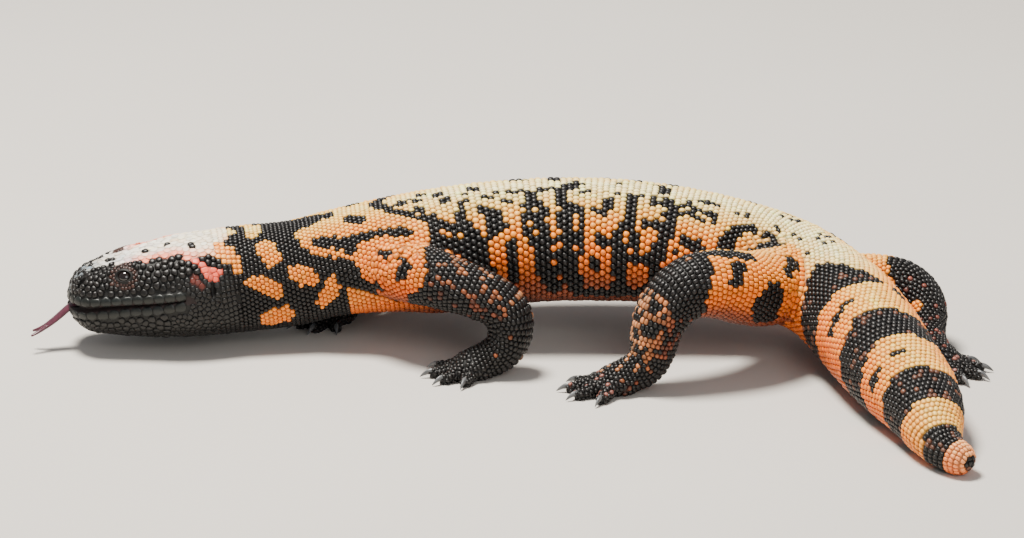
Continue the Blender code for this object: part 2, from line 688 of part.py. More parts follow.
def make_claw(name, ahead, toe_end, finish):
    """Curved claw from the flat end of a toe down to just over the floor."""
    base = toe_end[:3] + ahead * GAP * 1.6
    joints = []
    for share, rise, radius in CLAW_SHAPE:
        place = base + ahead * CLAW_LENGTH * share
        place[2] = max(base[2] + rise * CLAW_LENGTH, radius * CLAW_RADIUS + CLAW_CLEAR)
        joints.append((*place, radius * CLAW_RADIUS))
    return round_tube(name, np.array(joints), CLAW_SIDES, CLAW_STEP, finish)


def make_leg(name, leg, hide, claw):
    """Upper part, lower part and foot of one leg, with its claws."""
    joints = np.array(leg["joints"], float) * MM
    elbow, wrist = leg_distance(leg, CUT_ELBOW), leg_distance(leg, CUT_WRIST)
    points, faces = limb_mesh(joints, 0, elbow - GAP / 2, LEG_STEP, LEG_SIDES, LEG_BEAD)
    upper = mesh_object(name + "_upper", points, faces, hide)
    near_body = ["neck", "chest", "belly"] if name.startswith("front") else ["belly", "hips", "tail_base"]
    for body in near_body:
        cut(upper, [body_cutter(body, hide)])
    points, faces = limb_mesh(joints, elbow + GAP / 2, wrist - GAP / 2, LEG_STEP, LEG_SIDES, LEG_BEAD)
    mesh_object(name + "_lower", points, faces, hide)

    length = leg_distance(leg, len(joints) - 1)
    points, faces = limb_mesh(joints, wrist + GAP / 2, length, LEG_STEP, LEG_SIDES, 0)
    foot = mesh_object(name + "_foot", points, faces, hide)
    heading = unit(np.array([*leg["heading"], 0.0]))
    axes = np.array([heading, np.cross((0, 0, 1), heading), (0, 0, 1)])
    palm = joints[-1, :3] * (1, 1, 0) + np.array([0, 0, PALM_SIZE[2] - PALM_SINK])
    pieces = [ellipsoid("palm", palm, PALM_SIZE, axes, hide)]
    for number, (ahead, toe) in enumerate(toe_lines(name, leg), 1):
        pieces.append(round_tube(f"toe_{number}", toe, TOE_SIDES, TOE_STEP, hide))
        make_claw(f"{name}_claw_{number}", ahead, toe[-1], claw)
    join(foot, pieces)
    cut(foot, [floor_cutter(hide)])


def main():
    for thing in list(bpy.data.objects):
        bpy.data.objects.remove(thing)
    hide = material("hide", (0.55, 0.26, 0.10), 0.55)
    eye = material("eye", (0.03, 0.02, 0.015), 0.1)
    claw = material("claw", (0.06, 0.05, 0.045), 0.35)
    tongue = material("tongue", (0.12, 0.04, 0.07), 0.35)

    make_head(hide)
    tongue_solid("tongue", 0, tongue)
    for side, name in ((1, "eye_left"), (-1, "eye_right")):
        ellipsoid(name, eye_middle(side), np.full(3, EYE_RADIUS), np.eye(3), eye)
    make_body_lengths(hide)
    for name, leg in LEGS.items():
        make_leg(name, leg, hide, claw)

    pieces = list(bpy.context.scene.collection.objects)
    points = np.array([v.co for piece in pieces for v in piece.data.vertices])
    low, high = points.min(0), points.max(0)
    stand = bpy.data.objects.new("gila_monster", None)
    bpy.context.scene.collection.objects.link(stand)
    stand.location = (-(low[0] + high[0]) / 2, -(low[1] + high[1]) / 2, -low[2])
    for piece in pieces:
        piece.parent = stand


main()
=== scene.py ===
"""Looks of the gila monster: one skin under a coat of round bead scales, each set on the skin by itself.

The skin and the coat are worked out in the shape's own coordinates: distance along the body from the snout,
and the way round it from the ridge of the back. The left side faces -Y and the head points to -X.
"""

import bpy
import numpy as np
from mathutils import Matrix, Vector
from mathutils.bvhtree import BVHTree
from mathutils.kdtree import KDTree


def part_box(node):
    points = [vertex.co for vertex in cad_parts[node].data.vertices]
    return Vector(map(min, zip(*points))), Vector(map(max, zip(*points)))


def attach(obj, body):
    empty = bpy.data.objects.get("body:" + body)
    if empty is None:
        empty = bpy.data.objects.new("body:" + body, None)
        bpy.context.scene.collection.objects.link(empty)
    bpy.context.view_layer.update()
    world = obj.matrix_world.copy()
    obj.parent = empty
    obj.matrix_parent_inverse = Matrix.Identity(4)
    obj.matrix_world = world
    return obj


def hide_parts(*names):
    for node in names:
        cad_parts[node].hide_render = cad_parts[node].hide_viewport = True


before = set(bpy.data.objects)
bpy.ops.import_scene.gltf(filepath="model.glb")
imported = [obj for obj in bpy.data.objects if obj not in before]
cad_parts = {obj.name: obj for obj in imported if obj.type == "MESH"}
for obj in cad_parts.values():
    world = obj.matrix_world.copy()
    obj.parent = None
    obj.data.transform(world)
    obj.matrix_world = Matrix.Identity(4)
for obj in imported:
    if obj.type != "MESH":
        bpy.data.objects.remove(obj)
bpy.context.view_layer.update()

MM = 0.001
UP = (0, 0, 1)
# Least value that a quotient is divided by, and least length of a vector that is brought to length 1
TINY, NO_LENGTH = 1e-6, 1e-12
RNG = np.random.default_rng(11)

# Line of the body from snout to tail tip, in millimetres:
# x, y, z of the middle, half width, height above the middle, depth below it
SPINE = {
    "snout": (-163, -11, 16.5, 9.5, 10.4, 7.6),
    "nostril": (-157, -10, 17.0, 13.5, 12.8, 9.6),
    "eye": (-142, -8, 17.5, 17.0, 17.0, 12.0),
    "jaw": (-119, -4, 19.0, 22.5, 20.5, 14.4),
    "nape": (-98, -1, 21.0, 20.0, 21.0, 16.2),
    "neck": (-80, 1, 23.0, 19.3, 20.5, 16.7),
    "chest": (-66, 2.4, 25.3, 21.5, 21.2, 15.4),
    "shoulder": (-46, 4, 28.5, 25.5, 22.0, 17.0),
    "armpit": (-28, 5.9, 30.9, 27.0, 22.2, 20.4),
    "ribs": (-8, 8, 33.0, 28.0, 22.0, 20.0),
    "belly": (32, 9, 34.0, 29.0, 22.0, 19.0),
    "loin": (72, 5, 31.5, 26.5, 20.5, 18.0),
    "hip": (100, -3, 27.0, 22.5, 18.5, 17.0),
    "vent": (116, -21, 23.5, 19.5, 17.0, 17.0),
    "tail_root": (127, -50, 19.5, 18.5, 17.0, 18.0),
    "tail_fat": (135, -80, 16.5, 17.0, 15.0, 16.8),
    "tail_slim": (143, -108, 12.5, 13.5, 12.0, 13.1),
    "tail_thin": (145, -122, 10.0, 10.2, 9.2, 10.2),
    "tail_waist": (148, -132.5, 7.4, 7.0, 6.6, 7.6),
    "tail_tip": (156.5, -142, 5.2, 5.0, 4.8, 5.4),
}
SNOUT_ROUND = 9 * MM
TAIL_ROUND = 5 * MM

# How square the section is above and below its middle, where 2 is an ellipse
SQUARE_TOP = {"snout": 2.3, "eye": 2.8, "jaw": 2.6, "neck": 2.2, "belly": 2.1, "tail_tip": 2.0}
SQUARE_BOTTOM = {"snout": 2.2, "eye": 2.4, "jaw": 2.5, "neck": 2.4, "belly": 2.5, "vent": 2.2,
                 "tail_tip": 2.0}

# Joints of the legs in millimetres: x, y, z, radius. The first lies inside the torso
LEGS = {
    "front_left": {
        "joints": [(-50, -8, 31, 11.5), (-34, -24, 33, 10.8), (-15, -34, 30, 9.2), (-1, -38, 21, 8.4),
                   (-3, -40, 10, 7.2), (-13, -41.5, 5, 6.0)],
        "heading": (-1.0, -0.16),
    },
    "front_right": {
        "joints": [(-50, 12, 29, 11.5), (-44, 29, 31.5, 10.3), (-40, 41.5, 29, 8.4), (-42.5, 46.5, 20, 7.0),
                   (-52, 37, 10.5, 6.4), (-66, 17, 5, 6.0)],
        "heading": (-0.88, -0.47),
    },
    "hind_left": {
        "joints": [(102, -10, 27, 14.5), (84, -37, 32, 13.0), (63, -49, 36, 11.0), (52, -54, 24, 9.2),
                   (48, -56, 10, 7.2), (38, -57.5, 5, 6.0)],
        "heading": (-1.0, -0.10),
    },
    "hind_right": {
        "joints": [(107, -6, 22.5, 12.5), (128, -1, 21, 11.0), (144, -3, 20.5, 9.4), (151, -13, 15.5, 7.8),
                   (151, -25, 9, 6.6), (154, -35, 5, 6.0)],
        "heading": (0.78, -0.63),
    },
}
# Toes of each kind of foot: turn from the foot's heading in degrees, and length in millimetres
TOES = {
    "front": [(-66, 8.5), (-32, 11.0), (-2, 12.0), (27, 11.0), (62, 8.5)],
    "hind": [(-60, 9.0), (-30, 12.0), (-3, 13.8), (24, 13.4), (58, 11.0)],
}
PALM_SIZE = np.array([8.5, 8.0, 5.4]) * MM
PALM_SINK = 1.2 * MM
# A toe starts this far inside its palm. Share of its reach, then radius and height over its sole in mm
TOE_INSIDE = 3 * MM
TOE_SHAPE = [(0.12, 3.0, 3.2), (0.45, 2.9, 3.5), (0.85, 2.27, 1.7), (1.0, 2.1, 1.7)]
# Share of a claw's length, then its rise as a share of that length and its share of the radius
CLAW_SHAPE = [(0.0, 0.06, 1.0), (0.3, 0.14, 0.86), (0.6, 0.08, 0.6), (0.85, -0.08, 0.32), (1.0, -0.2, 0.08)]
CLAW_LENGTH, CLAW_RADIUS = 5.4 * MM, 1.4 * MM
# How deep a claw starts in its toe, its least height over the floor, and its width as a share of its depth
CLAW_ROOT, CLAW_CLEAR, CLAW_NARROW = 0.8 * MM, 0.15 * MM, 0.72

# Places on the head: distance along the body, and angle down from the ridge in degrees
EYE_PLACE = (21 * MM, 42)
EYE_RADIUS, EYE_SINK = 2.9 * MM, 1.9 * MM
# How much of the surface's upward lean an eye keeps
EYE_LEAN = 0.6
NOSTRIL_PLACE = (5.6 * MM, 32)
EAR_PLACE = (53 * MM, 76)
# Half sizes of a nostril and an ear hole: level, upward and inward
NOSTRIL_SIZE = np.array([1.5, 2.6, 2.2]) * MM
EAR_SIZE = np.array([1.2, 3.0, 1.8]) * MM
HOLES = [(NOSTRIL_PLACE, NOSTRIL_SIZE), (EAR_PLACE, EAR_SIZE)]
# Ridge over the eye: millimetres behind the eye, degrees above it, radius in millimetres
BROW = [(-9, 5, 1.0), (-4, 11, 1.9), (2, 14, 2.2), (8, 11, 1.4), (12, 7, 0.9)]
BROW_SINK = 1.0 * MM
HEAD_END = 62 * MM

# Line of the mouth: where it ends, its height over the middle of the head in front and there, and its depth
MOUTH_CORNER = 42 * MM
MOUTH_RISE = np.array([1.2, 4.4]) * MM
MOUTH_DEPTH = 2.6 * MM
# Half height of the open mouth inside the lips, at its corners and in front, and how much more outside them
MOUTH_GAPE = np.array([0.25, 1.0]) * MM
MOUTH_FLARE = 1.8
# How far the cutter of the mouth reaches out past the lips
MOUTH_REACH = 4 * MM
# Ridge of a lip: its height from the line of the mouth, its depth under the surface, and its radius
LIP_OFFSET, LIP_SINK, LIP_RADIUS = 2.3 * MM, 0.9 * MM, 1.5 * MM

# Line of the tongue in millimetres, from inside the mouth: x, y, z, half width, half thickness
TONGUE = [(-154, -9.4, 17.8, 2.7, 1.0), (-159.5, -10.8, 17.2, 2.7, 1.0), (-164, -12.0, 14.2, 2.6, 1.0),
          (-168, -13.2, 11.0, 2.4, 0.9), (-171, -14.2, 9.0, 2.1, 0.8)]
TONGUE_FORK = [(-170, -13.9, 9.7, 1.1, 0.75), (-173, -14.8, 8.0, 0.9, 0.6), (-175.5, -15.5, 7.0, 0.5, 0.4)]
# Distance of each joint of a tine from the middle of the fork
FORK_SPREAD = np.array([1.2, 1.8, 2.9]) * MM

# The skin lies this far inside the shape's surface, and the beads stand up from it
SKIN_SINK = 0.35 * MM
SKIN_VOXEL = 0.8 * MM

# Colours as seen in daylight, 0 to 255
BLACK = (22, 18, 17)
# The jaw's black, darkened further as painted shade
SHADED_JAW_BLACK = (15, 12, 10)
CREAM = (255, 236, 178)
PEACH = (255, 160, 66)
APRICOT = (255, 154, 42)
ORANGE = (248, 124, 26)
DULL_BROWN = (98, 62, 46)
RUST = (150, 72, 36)
MAROON = (84, 40, 26)
PINK = (252, 144, 112)
SALMON = (246, 98, 72)
EAR_BROWN = (92, 40, 32)
LIP_GREEN = (21, 24, 22)
LID_BROWN = (62, 40, 34)
# Black painted as shade into the pits of the eyes, ears and nostrils
PIT_PAINTED_SHADE = (12, 9, 8)
# The inside of the mouth: its red, kept very dark as painted shade
SHADED_MOUTH_RED = (30, 14, 14)

# Dark strokes on the pale back, left flank and neck, in millimetres:
# distance from the snout, way down from the ridge, half width
DARK_MARKS = {
    "nape_stripe": [(66, -22, 1.2), (66, -3, 1.2), (66, 5, 2.4), (66.5, 11, 3.0), (68.5, 19, 3.2),
                    (64, 22.5, 2.4)],
    "saddle": [(80, -20, 5.8), (79.5, 0, 5.6), (88, 0, 5.8), (97, -1, 6.4), (98, -9, 5.4)],
    "shoulder_eye": [(108.3, 7.4, 2.3), (111.6, 9.0, 2.8)],
    "shoulder_streak": [(95, 15, 2.2), (100, 17.2, 1.6), (104.5, 19, 2.5), (109, 18.6, 2.1), (115, 17.6, 1.6),
                        (122, 18.6, 1.5), (126.6, 20.8, 2.1)],
    "streak_end": [(104.5, 19, 2.4), (107.6, 22, 2.0)],
    "back_chain": [(115.5, -7, 1.8), (117.5, 1, 1.8), (121, 4.8, 2.1), (123, 7.6, 1.7), (127.3, 11, 1.8),
                   (131, 14, 1.2), (134, 14.8, 1.4), (136, 17, 2.2)],
    "throat_side": [(102, 27, 4.0), (104.5, 31, 4.4), (108.5, 34.5, 3.8), (113.5, 38.5, 2.8),
                    (118.5, 43, 2.0), (122.5, 45, 1.3), (132, 45, 1.3)],
    "behind_arm_a": [(136.4, 16.5, 2.4), (137.4, 22, 3.4), (143, 22.8, 3.2)],
    "behind_arm_b": [(146.6, 16.4, 2.1), (147.6, 22, 2.6), (149.4, 27, 3.4), (152, 31, 3.6),
                     (152.8, 37, 3.2)],
    "behind_arm_c": [(136.4, 26, 2.6), (144, 28.6, 3.2), (149, 33, 3.2), (154, 40, 2.4)],
    "flank_a": [(155.6, 15.8, 2.5), (158, 19.6, 3.5), (160, 24, 3.2)],
    "flank_aa": [(156.2, 22, 1.3), (156.6, 26.6, 1.2)],
    "flank_b": [(163.9, 30, 1.6), (163.8, 33.6, 1.3), (163.4, 38.4, 2.7), (163.6, 44, 2.8)],
    "flank_c": [(172.6, 7, 2.0), (172.8, 13, 2.9), (172.8, 18.4, 5.5), (173.4, 24, 5.5), (174.4, 28.6, 4.8),
                (175.8, 33, 3.2), (175.8, 38, 3.2), (177, 44, 3.4), (180, 49, 3.2)],
    "flank_d": [(177, 30.5, 1.1), (183, 30.7, 1.1)],
    "flank_da": [(177, 36, 1.2), (183, 36, 1.2)],
    "flank_e": [(183.6, 4, 1.5), (183.9, 11, 2.2), (184.8, 18, 3.0), (185, 28, 3.3), (186.4, 35, 4.2),
                (187, 42, 3.6), (188, 49, 3.6)],
    "flank_f": [(188.2, 17, 2.0), (190.6, 20, 1.6), (190.8, 28, 1.8), (189.8, 35, 2.0)],
    "ring_hole_a": [(197.6, 30.4, 2.5), (199.4, 30.6, 2.5)],
    "ring_hole_b": [(195.2, 39.6, 2.3), (196.6, 39.8, 2.5)],
    "ring_cap": [(202.2, 11.4, 1.9), (200.8, 15, 2.4), (199.6, 18.4, 2.3), (196.6, 18.6, 2.0)],
    "loin_a": [(210.3, 10.6, 2.1), (209.8, 16, 2.5), (209.4, 21, 2.7), (208.2, 25.4, 3.0), (206, 29.4, 3.2),
               (207, 34.6, 3.2), (206.6, 40, 2.6), (206.5, 47, 2.8)],
    "loin_ab": [(211, 24.6, 1.6), (211.4, 33, 1.6)],
    "loin_b": [(212.6, 22.2, 1.9), (218, 22.2, 1.8), (222.5, 21.5, 2.0)],
    "loin_c": [(223, 10, 2.0), (224, 15, 2.5), (224, 21, 3.0), (223, 27, 3.2), (222, 32, 3.2), (221, 38, 3.0),
               (219.5, 47, 3.0)],
    "loin_d": [(211, 36, 1.9), (219, 36, 1.9)],
    "loin_e": [(230, 27, 2.2), (234.4, 27.2, 2.9)],
    "loin_f": [(228, 32, 2.2), (232, 33.4, 2.4)],
    "hip_loop": [(253.4, 13, 2.6), (249.4, 15.4, 2.2), (246.4, 19, 2.7), (244.8, 24, 3.0), (244.6, 27.5, 2.4),
                 (250, 27.4, 2.4), (255, 26.4, 2.2), (259, 23, 2.6), (261, 20, 2.2)],
    "rump_spot": [(280.6, 17, 1.7), (283, 15, 2.3), (286, 17.2, 1.7)],
    "rump_streak": [(272, 22.4, 0.8), (276, 21.6, 0.8)],
    "back_spot": [(219, 4, 1.9), (220.6, 1.0, 1.6)],
    "belly_line_a": [(140, 52, 3.0), (150, 50, 3.0), (160, 50, 2.4)],
    "belly_line_b": [(190, 52, 2.6), (203, 52, 2.6), (214, 50, 2.6)],
}

# Dark strokes that also cross the pale ones
OVER_PALE = ["nape_stripe", "shoulder_eye", "shoulder_streak", "streak_end", "throat_side"]

# Pale strokes on the dark neck and flank, in the same form
PALE_MARKS = {
    "neck_spot_a": [(75, 13.6, 3.7), (76.2, 17.4, 3.7)],
    "neck_spot_b": [(66.8, 25, 2.5), (71, 26.6, 2.6), (75.6, 29.4, 3.8)],
    "neck_spot_c": [(84.8, 23.6, 3.0), (88, 25.6, 3.9), (91, 27.4, 2.3)],
    "neck_spot_d": [(74, 41.2, 4.3), (78.4, 39.6, 3.9)],
    "neck_spot_e": [(93.2, 37, 2.9), (98, 32.4, 3.6)],
    "nape_band": [(70.6, -17, 2.9), (70.6, 2, 2.8), (70, 7, 1.6)],
    "neck_front": [(89.4, 8.6, 2.6), (91, 13, 2.6), (94, 17.6, 1.8), (99, 20.2, 1.7), (103.6, 22.6, 2.0),
                   (106.6, 24.6, 1.6)],
    "shoulder_band": [(91.5, 9.4, 3.2), (100, 9, 5.6), (107, 8, 6.4), (115, 11.5, 5.4), (124, 15, 3.8),
                      (131, 18.6, 3.4), (131.5, 25, 2.8)],
    "shoulder_crest": [(109, -18, 6.2), (110, 0, 5.4)],
    "arm_front": [(112, 24.6, 3.6), (118, 24.4, 4.2), (123, 24.4, 2.9)],
    "arm_side": [(113.5, 30, 4.0), (118, 34, 4.4), (122, 39, 4.8), (127, 38, 4.6), (128, 30, 3.0)],
    "chest_band": [(104.4, 41.4, 2.6), (110, 43.4, 2.8), (116, 47, 2.2), (125, 49, 2.2), (136, 49.6, 2.6)],
}

# Single pale beads, or a few, inside the dark marks of the left flank
PALE_BEADS = [(139, 22.4), (142, 24.8), (147, 21.2), (169.4, 17), (173.3, 18.6), (171.4, 22.6), (174.2, 27),
              (177, 22.4), (181.6, 18.4), (182.6, 26.8), (182.2, 32.4), (188.4, 21.8), (188.5, 24.6),
              (188.3, 27.3), (188.1, 30.1), (188.2, 33), (208.2, 26.6), (207.4, 30), (210.6, 33.6),
              (212.8, 23.4), (218, 24.4), (222.6, 23.6), (226.6, 28.4), (225.6, 31), (222.8, 36), (230, 31),
              (227.6, 34.6)]
PALE_BEAD_REACH = 1.3

# Patches of mixed dark and pale beads: distance, way down, half length, half height, share of dark beads
SPECKLED = [(127, 2.5, 3.5, 3, 0.6), (133.6, 5, 3.4, 9, 0.6), (141.5, 2, 2.4, 7, 0.55),
            (142.4, 6, 2, 3, 0.6), (148.5, 6.5, 3, 4, 0.6), (147, 12, 2, 3, 0.5), (157, 7.5, 2, 2, 0.7),
            (166, 5, 7, 2.2, 0.6), (163.8, 9.6, 2.4, 3.6, 0.7), (178.5, 5, 4, 2, 0.7),
            (186, 2, 2.4, 5, 0.6), (192.8, 6.6, 4, 2.2, 0.75), (153.5, -2, 2, 4, 0.5), (170, -3, 3, 5, 0.5),
            (189, -1, 2.4, 5, 0.4), (204, 8, 3, 1.3, 0.6), (211, 7.6, 3.6, 2, 0.6),
            (218.5, 9, 4.6, 3.6, 0.5), (229, 12, 3, 6, 0.45), (235, 13.8, 5.8, 3.5, 0.72),
            (235.4, 4.6, 4.6, 2, 0.6), (248.6, 6.2, 3, 1.9, 0.65), (265.4, 14, 7.4, 3.4, 0.94),
            (263, 7.4, 4, 1.6, 0.55), (275, 6, 4, 1.6, 0.5), (284, 8.4, 4, 1, 0.5),
            (181, 39.6, 3.4, 3.4, 0.5), (206, -5, 5, 3, 0.3), (262, -6, 5, 4, 0.5), (281, -4, 4, 4, 0.6),
            (229.6, 30, 3.6, 4.4, 0.5)]

# Dark bands of the tail: where each starts and ends, as pairs of way down from the ridge and distance
TAIL_BANDS = [
    ([(-25, 340), (-8, 315), (-3, 306), (2, 300), (5, 296), (10, 293), (15, 297), (20, 301.5), (25, 304),
      (40, 309)],
     [(-25, 316), (-8, 315), (3, 317), (10, 316), (20, 319), (40, 324)]),
    ([(-25, 343), (0, 336), (10, 337), (15, 341), (20, 343), (40, 350)],
     [(-25, 360), (0, 355), (10, 356), (15, 359), (20, 361), (40, 366)]),
    ([(-25, 380), (0, 376), (5, 374.8), (10, 375), (15, 377.5), (40, 386)],
     [(-25, 394), (0, 392), (10, 394), (40, 397)]),
    ([(-25, 408), (0, 404.5), (10, 406), (30, 410)],
     [(-25, 415), (0, 414), (10, 413.5), (30, 415)]),
    ([(-25, 420.4), (25, 420.4)], [(-25, 430), (25, 430)]),
]
TAIL_DASHES = [[(326.6, 8.6, 1.2), (327.6, 12.6, 1.4)],
               [(329.2, 15.4, 1.5), (331, 18.4, 2.0), (331.4, 22, 2.0)],
               [(365.4, 3.6, 1.2), (366, 7.4, 1.4)], [(367.6, 15.2, 1.7), (369.2, 19, 2.0)],
               [(318, -12, 1.2), (324, -14, 1.2)]]
# Share of the beads of the tail's dark bands that are dull brown
DULL_SHARE = 0.13

# Lower edge of the pale top of the head, in millimetres: distance from the snout, way down from the ridge
HEAD_EDGE = [(0, 0), (3.5, 0.5), (6, 2.5), (10, 4), (16, 5.6), (20, 6.4), (26, 8.5), (30, 10.5), (38, 11),
             (43, 13), (46, 15.5), (49, 15.4), (52, 15), (55, 14.6), (58, 12), (61, 8), (66, 5)]
# How much further down the pale top reaches on the right side
FAR_CROWN = 3.5
# Pale patches behind the eye, in the form of the strokes, and the dark specks of the crown as mixed patches
SALMON_PATCH = [(48, 17, 1.5), (51.4, 20, 2.4), (54.5, 21.6, 2.9), (57, 21, 1.7)]
PEACH_PATCH = [(57.4, 10, 2.4), (59.6, 14, 3.4), (62.6, 18, 2.3), (63.4, 21, 1.3)]
EAR_RUST = [(47, 24, 1.4), (49, 27, 1.6)]
HEAD_SPECKS = [(12, 3, 8, 4.5, 0.42), (48, 6.8, 1.6, 1.4, 1.0), (60, 9, 5, 2.4, 0.4), (37, 1.5, 3, 1.2, 0.3),
               (31, 1.5, 2, 1.2, 0.3)]


def natural_cubic(at, values, wanted):
    """The natural cubic spline through values, one row for each number in at, read at wanted."""
    count = len(at)
    step = np.diff(at)
    matrix = np.eye(count)
    right = np.zeros(values.shape)
    for i in range(1, count - 1):
        matrix[i, i - 1 : i + 2] = step[i - 1], 2 * (step[i - 1] + step[i]), step[i]
        right[i] = 6 * ((values[i + 1] - values[i]) / step[i] - (values[i] - values[i - 1]) / step[i - 1])
    bend = np.linalg.solve(matrix, right)
    i = np.clip(np.searchsorted(at, wanted, side="right") - 1, 0, count - 2)
    width = step[i][:, None]
    before = (at[i + 1] - wanted)[:, None] / width
    after = (wanted - at[i])[:, None] / width
    curve = (before**3 - before) * bend[i] + (after**3 - after) * bend[i + 1]
    return before * values[i] + after * values[i + 1] + curve * width**2 / 6


def monotone_cubic(at, values, wanted):
    """A cubic through values that doesn't overshoot them, read at wanted."""
    step = np.diff(at)[:, None]
    rise = np.diff(values, axis=0) / step
    slope = np.zeros_like(values)
    near, far = 2 * step[1:] + step[:-1], step[1:] + 2 * step[:-1]
    same_way = rise[:-1] * rise[1:] > 0
    before, after = np.where(same_way, rise[:-1], 1), np.where(same_way, rise[1:], 1)
    slope[1:-1] = np.where(same_way, (near + far) / (near / before + far / after), 0)
    slope[0], slope[-1] = rise[0], rise[-1]
    i = np.clip(np.searchsorted(at, wanted, side="right") - 1, 0, len(at) - 2)
    width = step[i]
    s = (wanted - at[i])[:, None] / width
    start = (2 * s**3 - 3 * s**2 + 1) * values[i] + (s**3 - 2 * s**2 + s) * width * slope[i]
    return start + (3 * s**2 - 2 * s**3) * values[i + 1] + (s**3 - s**2) * width * slope[i + 1]


def chord_lengths(points):
    """Distance along the points, from the first."""
    return np.concatenate([[0.0], np.cumsum(np.linalg.norm(np.diff(points, axis=0), axis=1))])


def unit(vectors):
    return vectors / np.maximum(np.linalg.norm(vectors, axis=-1, keepdims=True), NO_LENGTH)


def row_dots(a, b):
    """Dot product of each row of a with the same row of b."""
    return np.einsum("ij,ij->i", a, b)


STATIONS = list(SPINE)
AXIS = np.array([SPINE[name][:3] for name in STATIONS]) * MM
GIRTH = np.array([SPINE[name][3:] for name in STATIONS]) * MM
ALONG = chord_lengths(AXIS)
LENGTH = ALONG[-1]
# Half the stretch over which a direction along the body or a limb is taken
LITTLE, LIMB_LITTLE = 0.5 * MM, 0.2 * MM


def station_values(table, u):
    """Values given at some stations, read along the body."""
    at = np.array([ALONG[STATIONS.index(name)] for name in table])
    return np.interp(u, at, list(table.values()))


def end_rounding(distance, radius):
    """Share of the full girth at a distance from a rounded end."""
    inside = np.clip(distance / radius, 0, 1)
    return np.sqrt(1 - (1 - inside) ** 2)


def body_frame(u):
    """Middle, left, up and the three half sizes of the body at distances u from the snout."""
    u = np.atleast_1d(np.asarray(u, float))
    middle = natural_cubic(ALONG, AXIS, u)
    ahead = unit(natural_cubic(ALONG, AXIS, u + LITTLE) - natural_cubic(ALONG, AXIS, u - LITTLE))
    left = unit(np.cross(ahead, UP))
    up = np.cross(left, ahead)
    sizes = monotone_cubic(ALONG, GIRTH, np.clip(u, 0, LENGTH))
    share = end_rounding(u, SNOUT_ROUND) * end_rounding(LENGTH - u, TAIL_ROUND)
    return middle, left, up, sizes * share[:, None]


def section(angle, half_width, top, bottom, power_top, power_bottom):
    """Sideways and upward offset at an angle in radians from the ridge of the back, positive to the left."""
    upper = np.cos(angle) >= 0
    power = 2 / np.where(upper, power_top, power_bottom)
    height = np.where(upper, top, bottom)
    side = half_width * np.sign(np.sin(angle)) * np.abs(np.sin(angle)) ** power
    return side, height * np.sign(np.cos(angle)) * np.abs(np.cos(angle)) ** power


def body_points(u, angle):
    """Points on the plain body at distances u and angles in radians."""
    middle, left, up, sizes = body_frame(u)
    powers = station_values(SQUARE_TOP, u), station_values(SQUARE_BOTTOM, u)
    side, height = section(angle, sizes[:, 0], sizes[:, 1], sizes[:, 2], *powers)
    return middle + left * side[:, None] + up * height[:, None]


def body_point(u, degrees):
    return body_points(np.array([u]), np.radians([degrees]))[0]


def body_outward(u, degrees):
    """Outward direction of the plain body at a place."""
    along = body_point(u + LITTLE, degrees) - body_point(u - LITTLE, degrees)
    around = body_point(u, degrees + 1) - body_point(u, degrees - 1)
    return unit(np.cross(around, along))


# Way down the side in metres for each distance along the body and each angle from the ridge
TABLE_U = np.arange(0.2 * MM, LENGTH, 2 * MM)
TABLE_ANGLE = np.linspace(0, np.pi, 121)
ARCS = np.array([chord_lengths(body_points(np.full(len(TABLE_ANGLE), u), TABLE_ANGLE)) for u in TABLE_U])
# Keeps a place in the table just short of its last row or column
TABLE_END = 1.001


def arc_of(u, angle):
    """Signed way down from the ridge at distances u and signed angles."""
    row = np.clip((u - TABLE_U[0]) / (TABLE_U[1] - TABLE_U[0]), 0, len(TABLE_U) - TABLE_END)
    column = np.clip(np.abs(angle) / TABLE_ANGLE[1], 0, len(TABLE_ANGLE) - TABLE_END)
    i, j = row.astype(int), column.astype(int)
    a, b = row - i, column - j
    value = (ARCS[i, j] * (1 - a) * (1 - b) + ARCS[i + 1, j] * a * (1 - b)
             + ARCS[i, j + 1] * (1 - a) * b + ARCS[i + 1, j + 1] * a * b)
    return value * np.sign(angle)


def limb_path(joints, wanted):
    """Middle, direction and radii at distances along a curve through the joints."""
    at = chord_lengths(joints[:, :3])
    middle = natural_cubic(at, joints[:, :3], wanted)
    ahead = unit(natural_cubic(at, joints[:, :3], wanted + LIMB_LITTLE)
                 - natural_cubic(at, joints[:, :3], wanted - LIMB_LITTLE))
    return middle, ahead, monotone_cubic(at, joints[:, 3:], np.clip(wanted, 0, at[-1]))


def limb_frames(joints, wanted):
    """Middle, direction, side, top and radii at distances along a limb."""
    middle, ahead, radii = limb_path(joints, wanted)
    tops, sides = [], []
    other = np.array(UP, float)
    for direction in ahead:
        other = unit(other - direction * (other @ direction))
        tops.append(other)
        sides.append(np.cross(other, direction))
    return middle, ahead, np.array(sides), np.array(tops), radii


def tube_mesh(rings, first_end, last_end):
    """Vertices and triangles of a closed tube of rings, each end closed round one point, facing outward."""
    count, sides = len(rings), len(rings[0])
    points = np.concatenate([*rings, [first_end, last_end]])
    i, j = np.meshgrid(np.arange(count - 1), np.arange(sides), indexing="ij")
    here, right = i * sides + j, i * sides + (j + 1) % sides
    over, over_right = here + sides, right + sides
    faces = np.concatenate([np.stack([here, right, over_right], -1).reshape(-1, 3),
                            np.stack([here, over_right, over], -1).reshape(-1, 3)])
    j = np.arange(sides)
    k = (j + 1) % sides
    low = np.stack([np.full(sides, count * sides), k, j], -1)
    high = np.stack([np.full(sides, count * sides + 1), (count - 1) * sides + j, (count - 1) * sides + k], -1)
    faces = np.concatenate([faces, low, high])
    corners = points[faces]
    volume = row_dots(corners[:, 0], np.cross(corners[:, 1], corners[:, 2])).sum()
    return points, faces if volume > 0 else faces[:, ::-1]


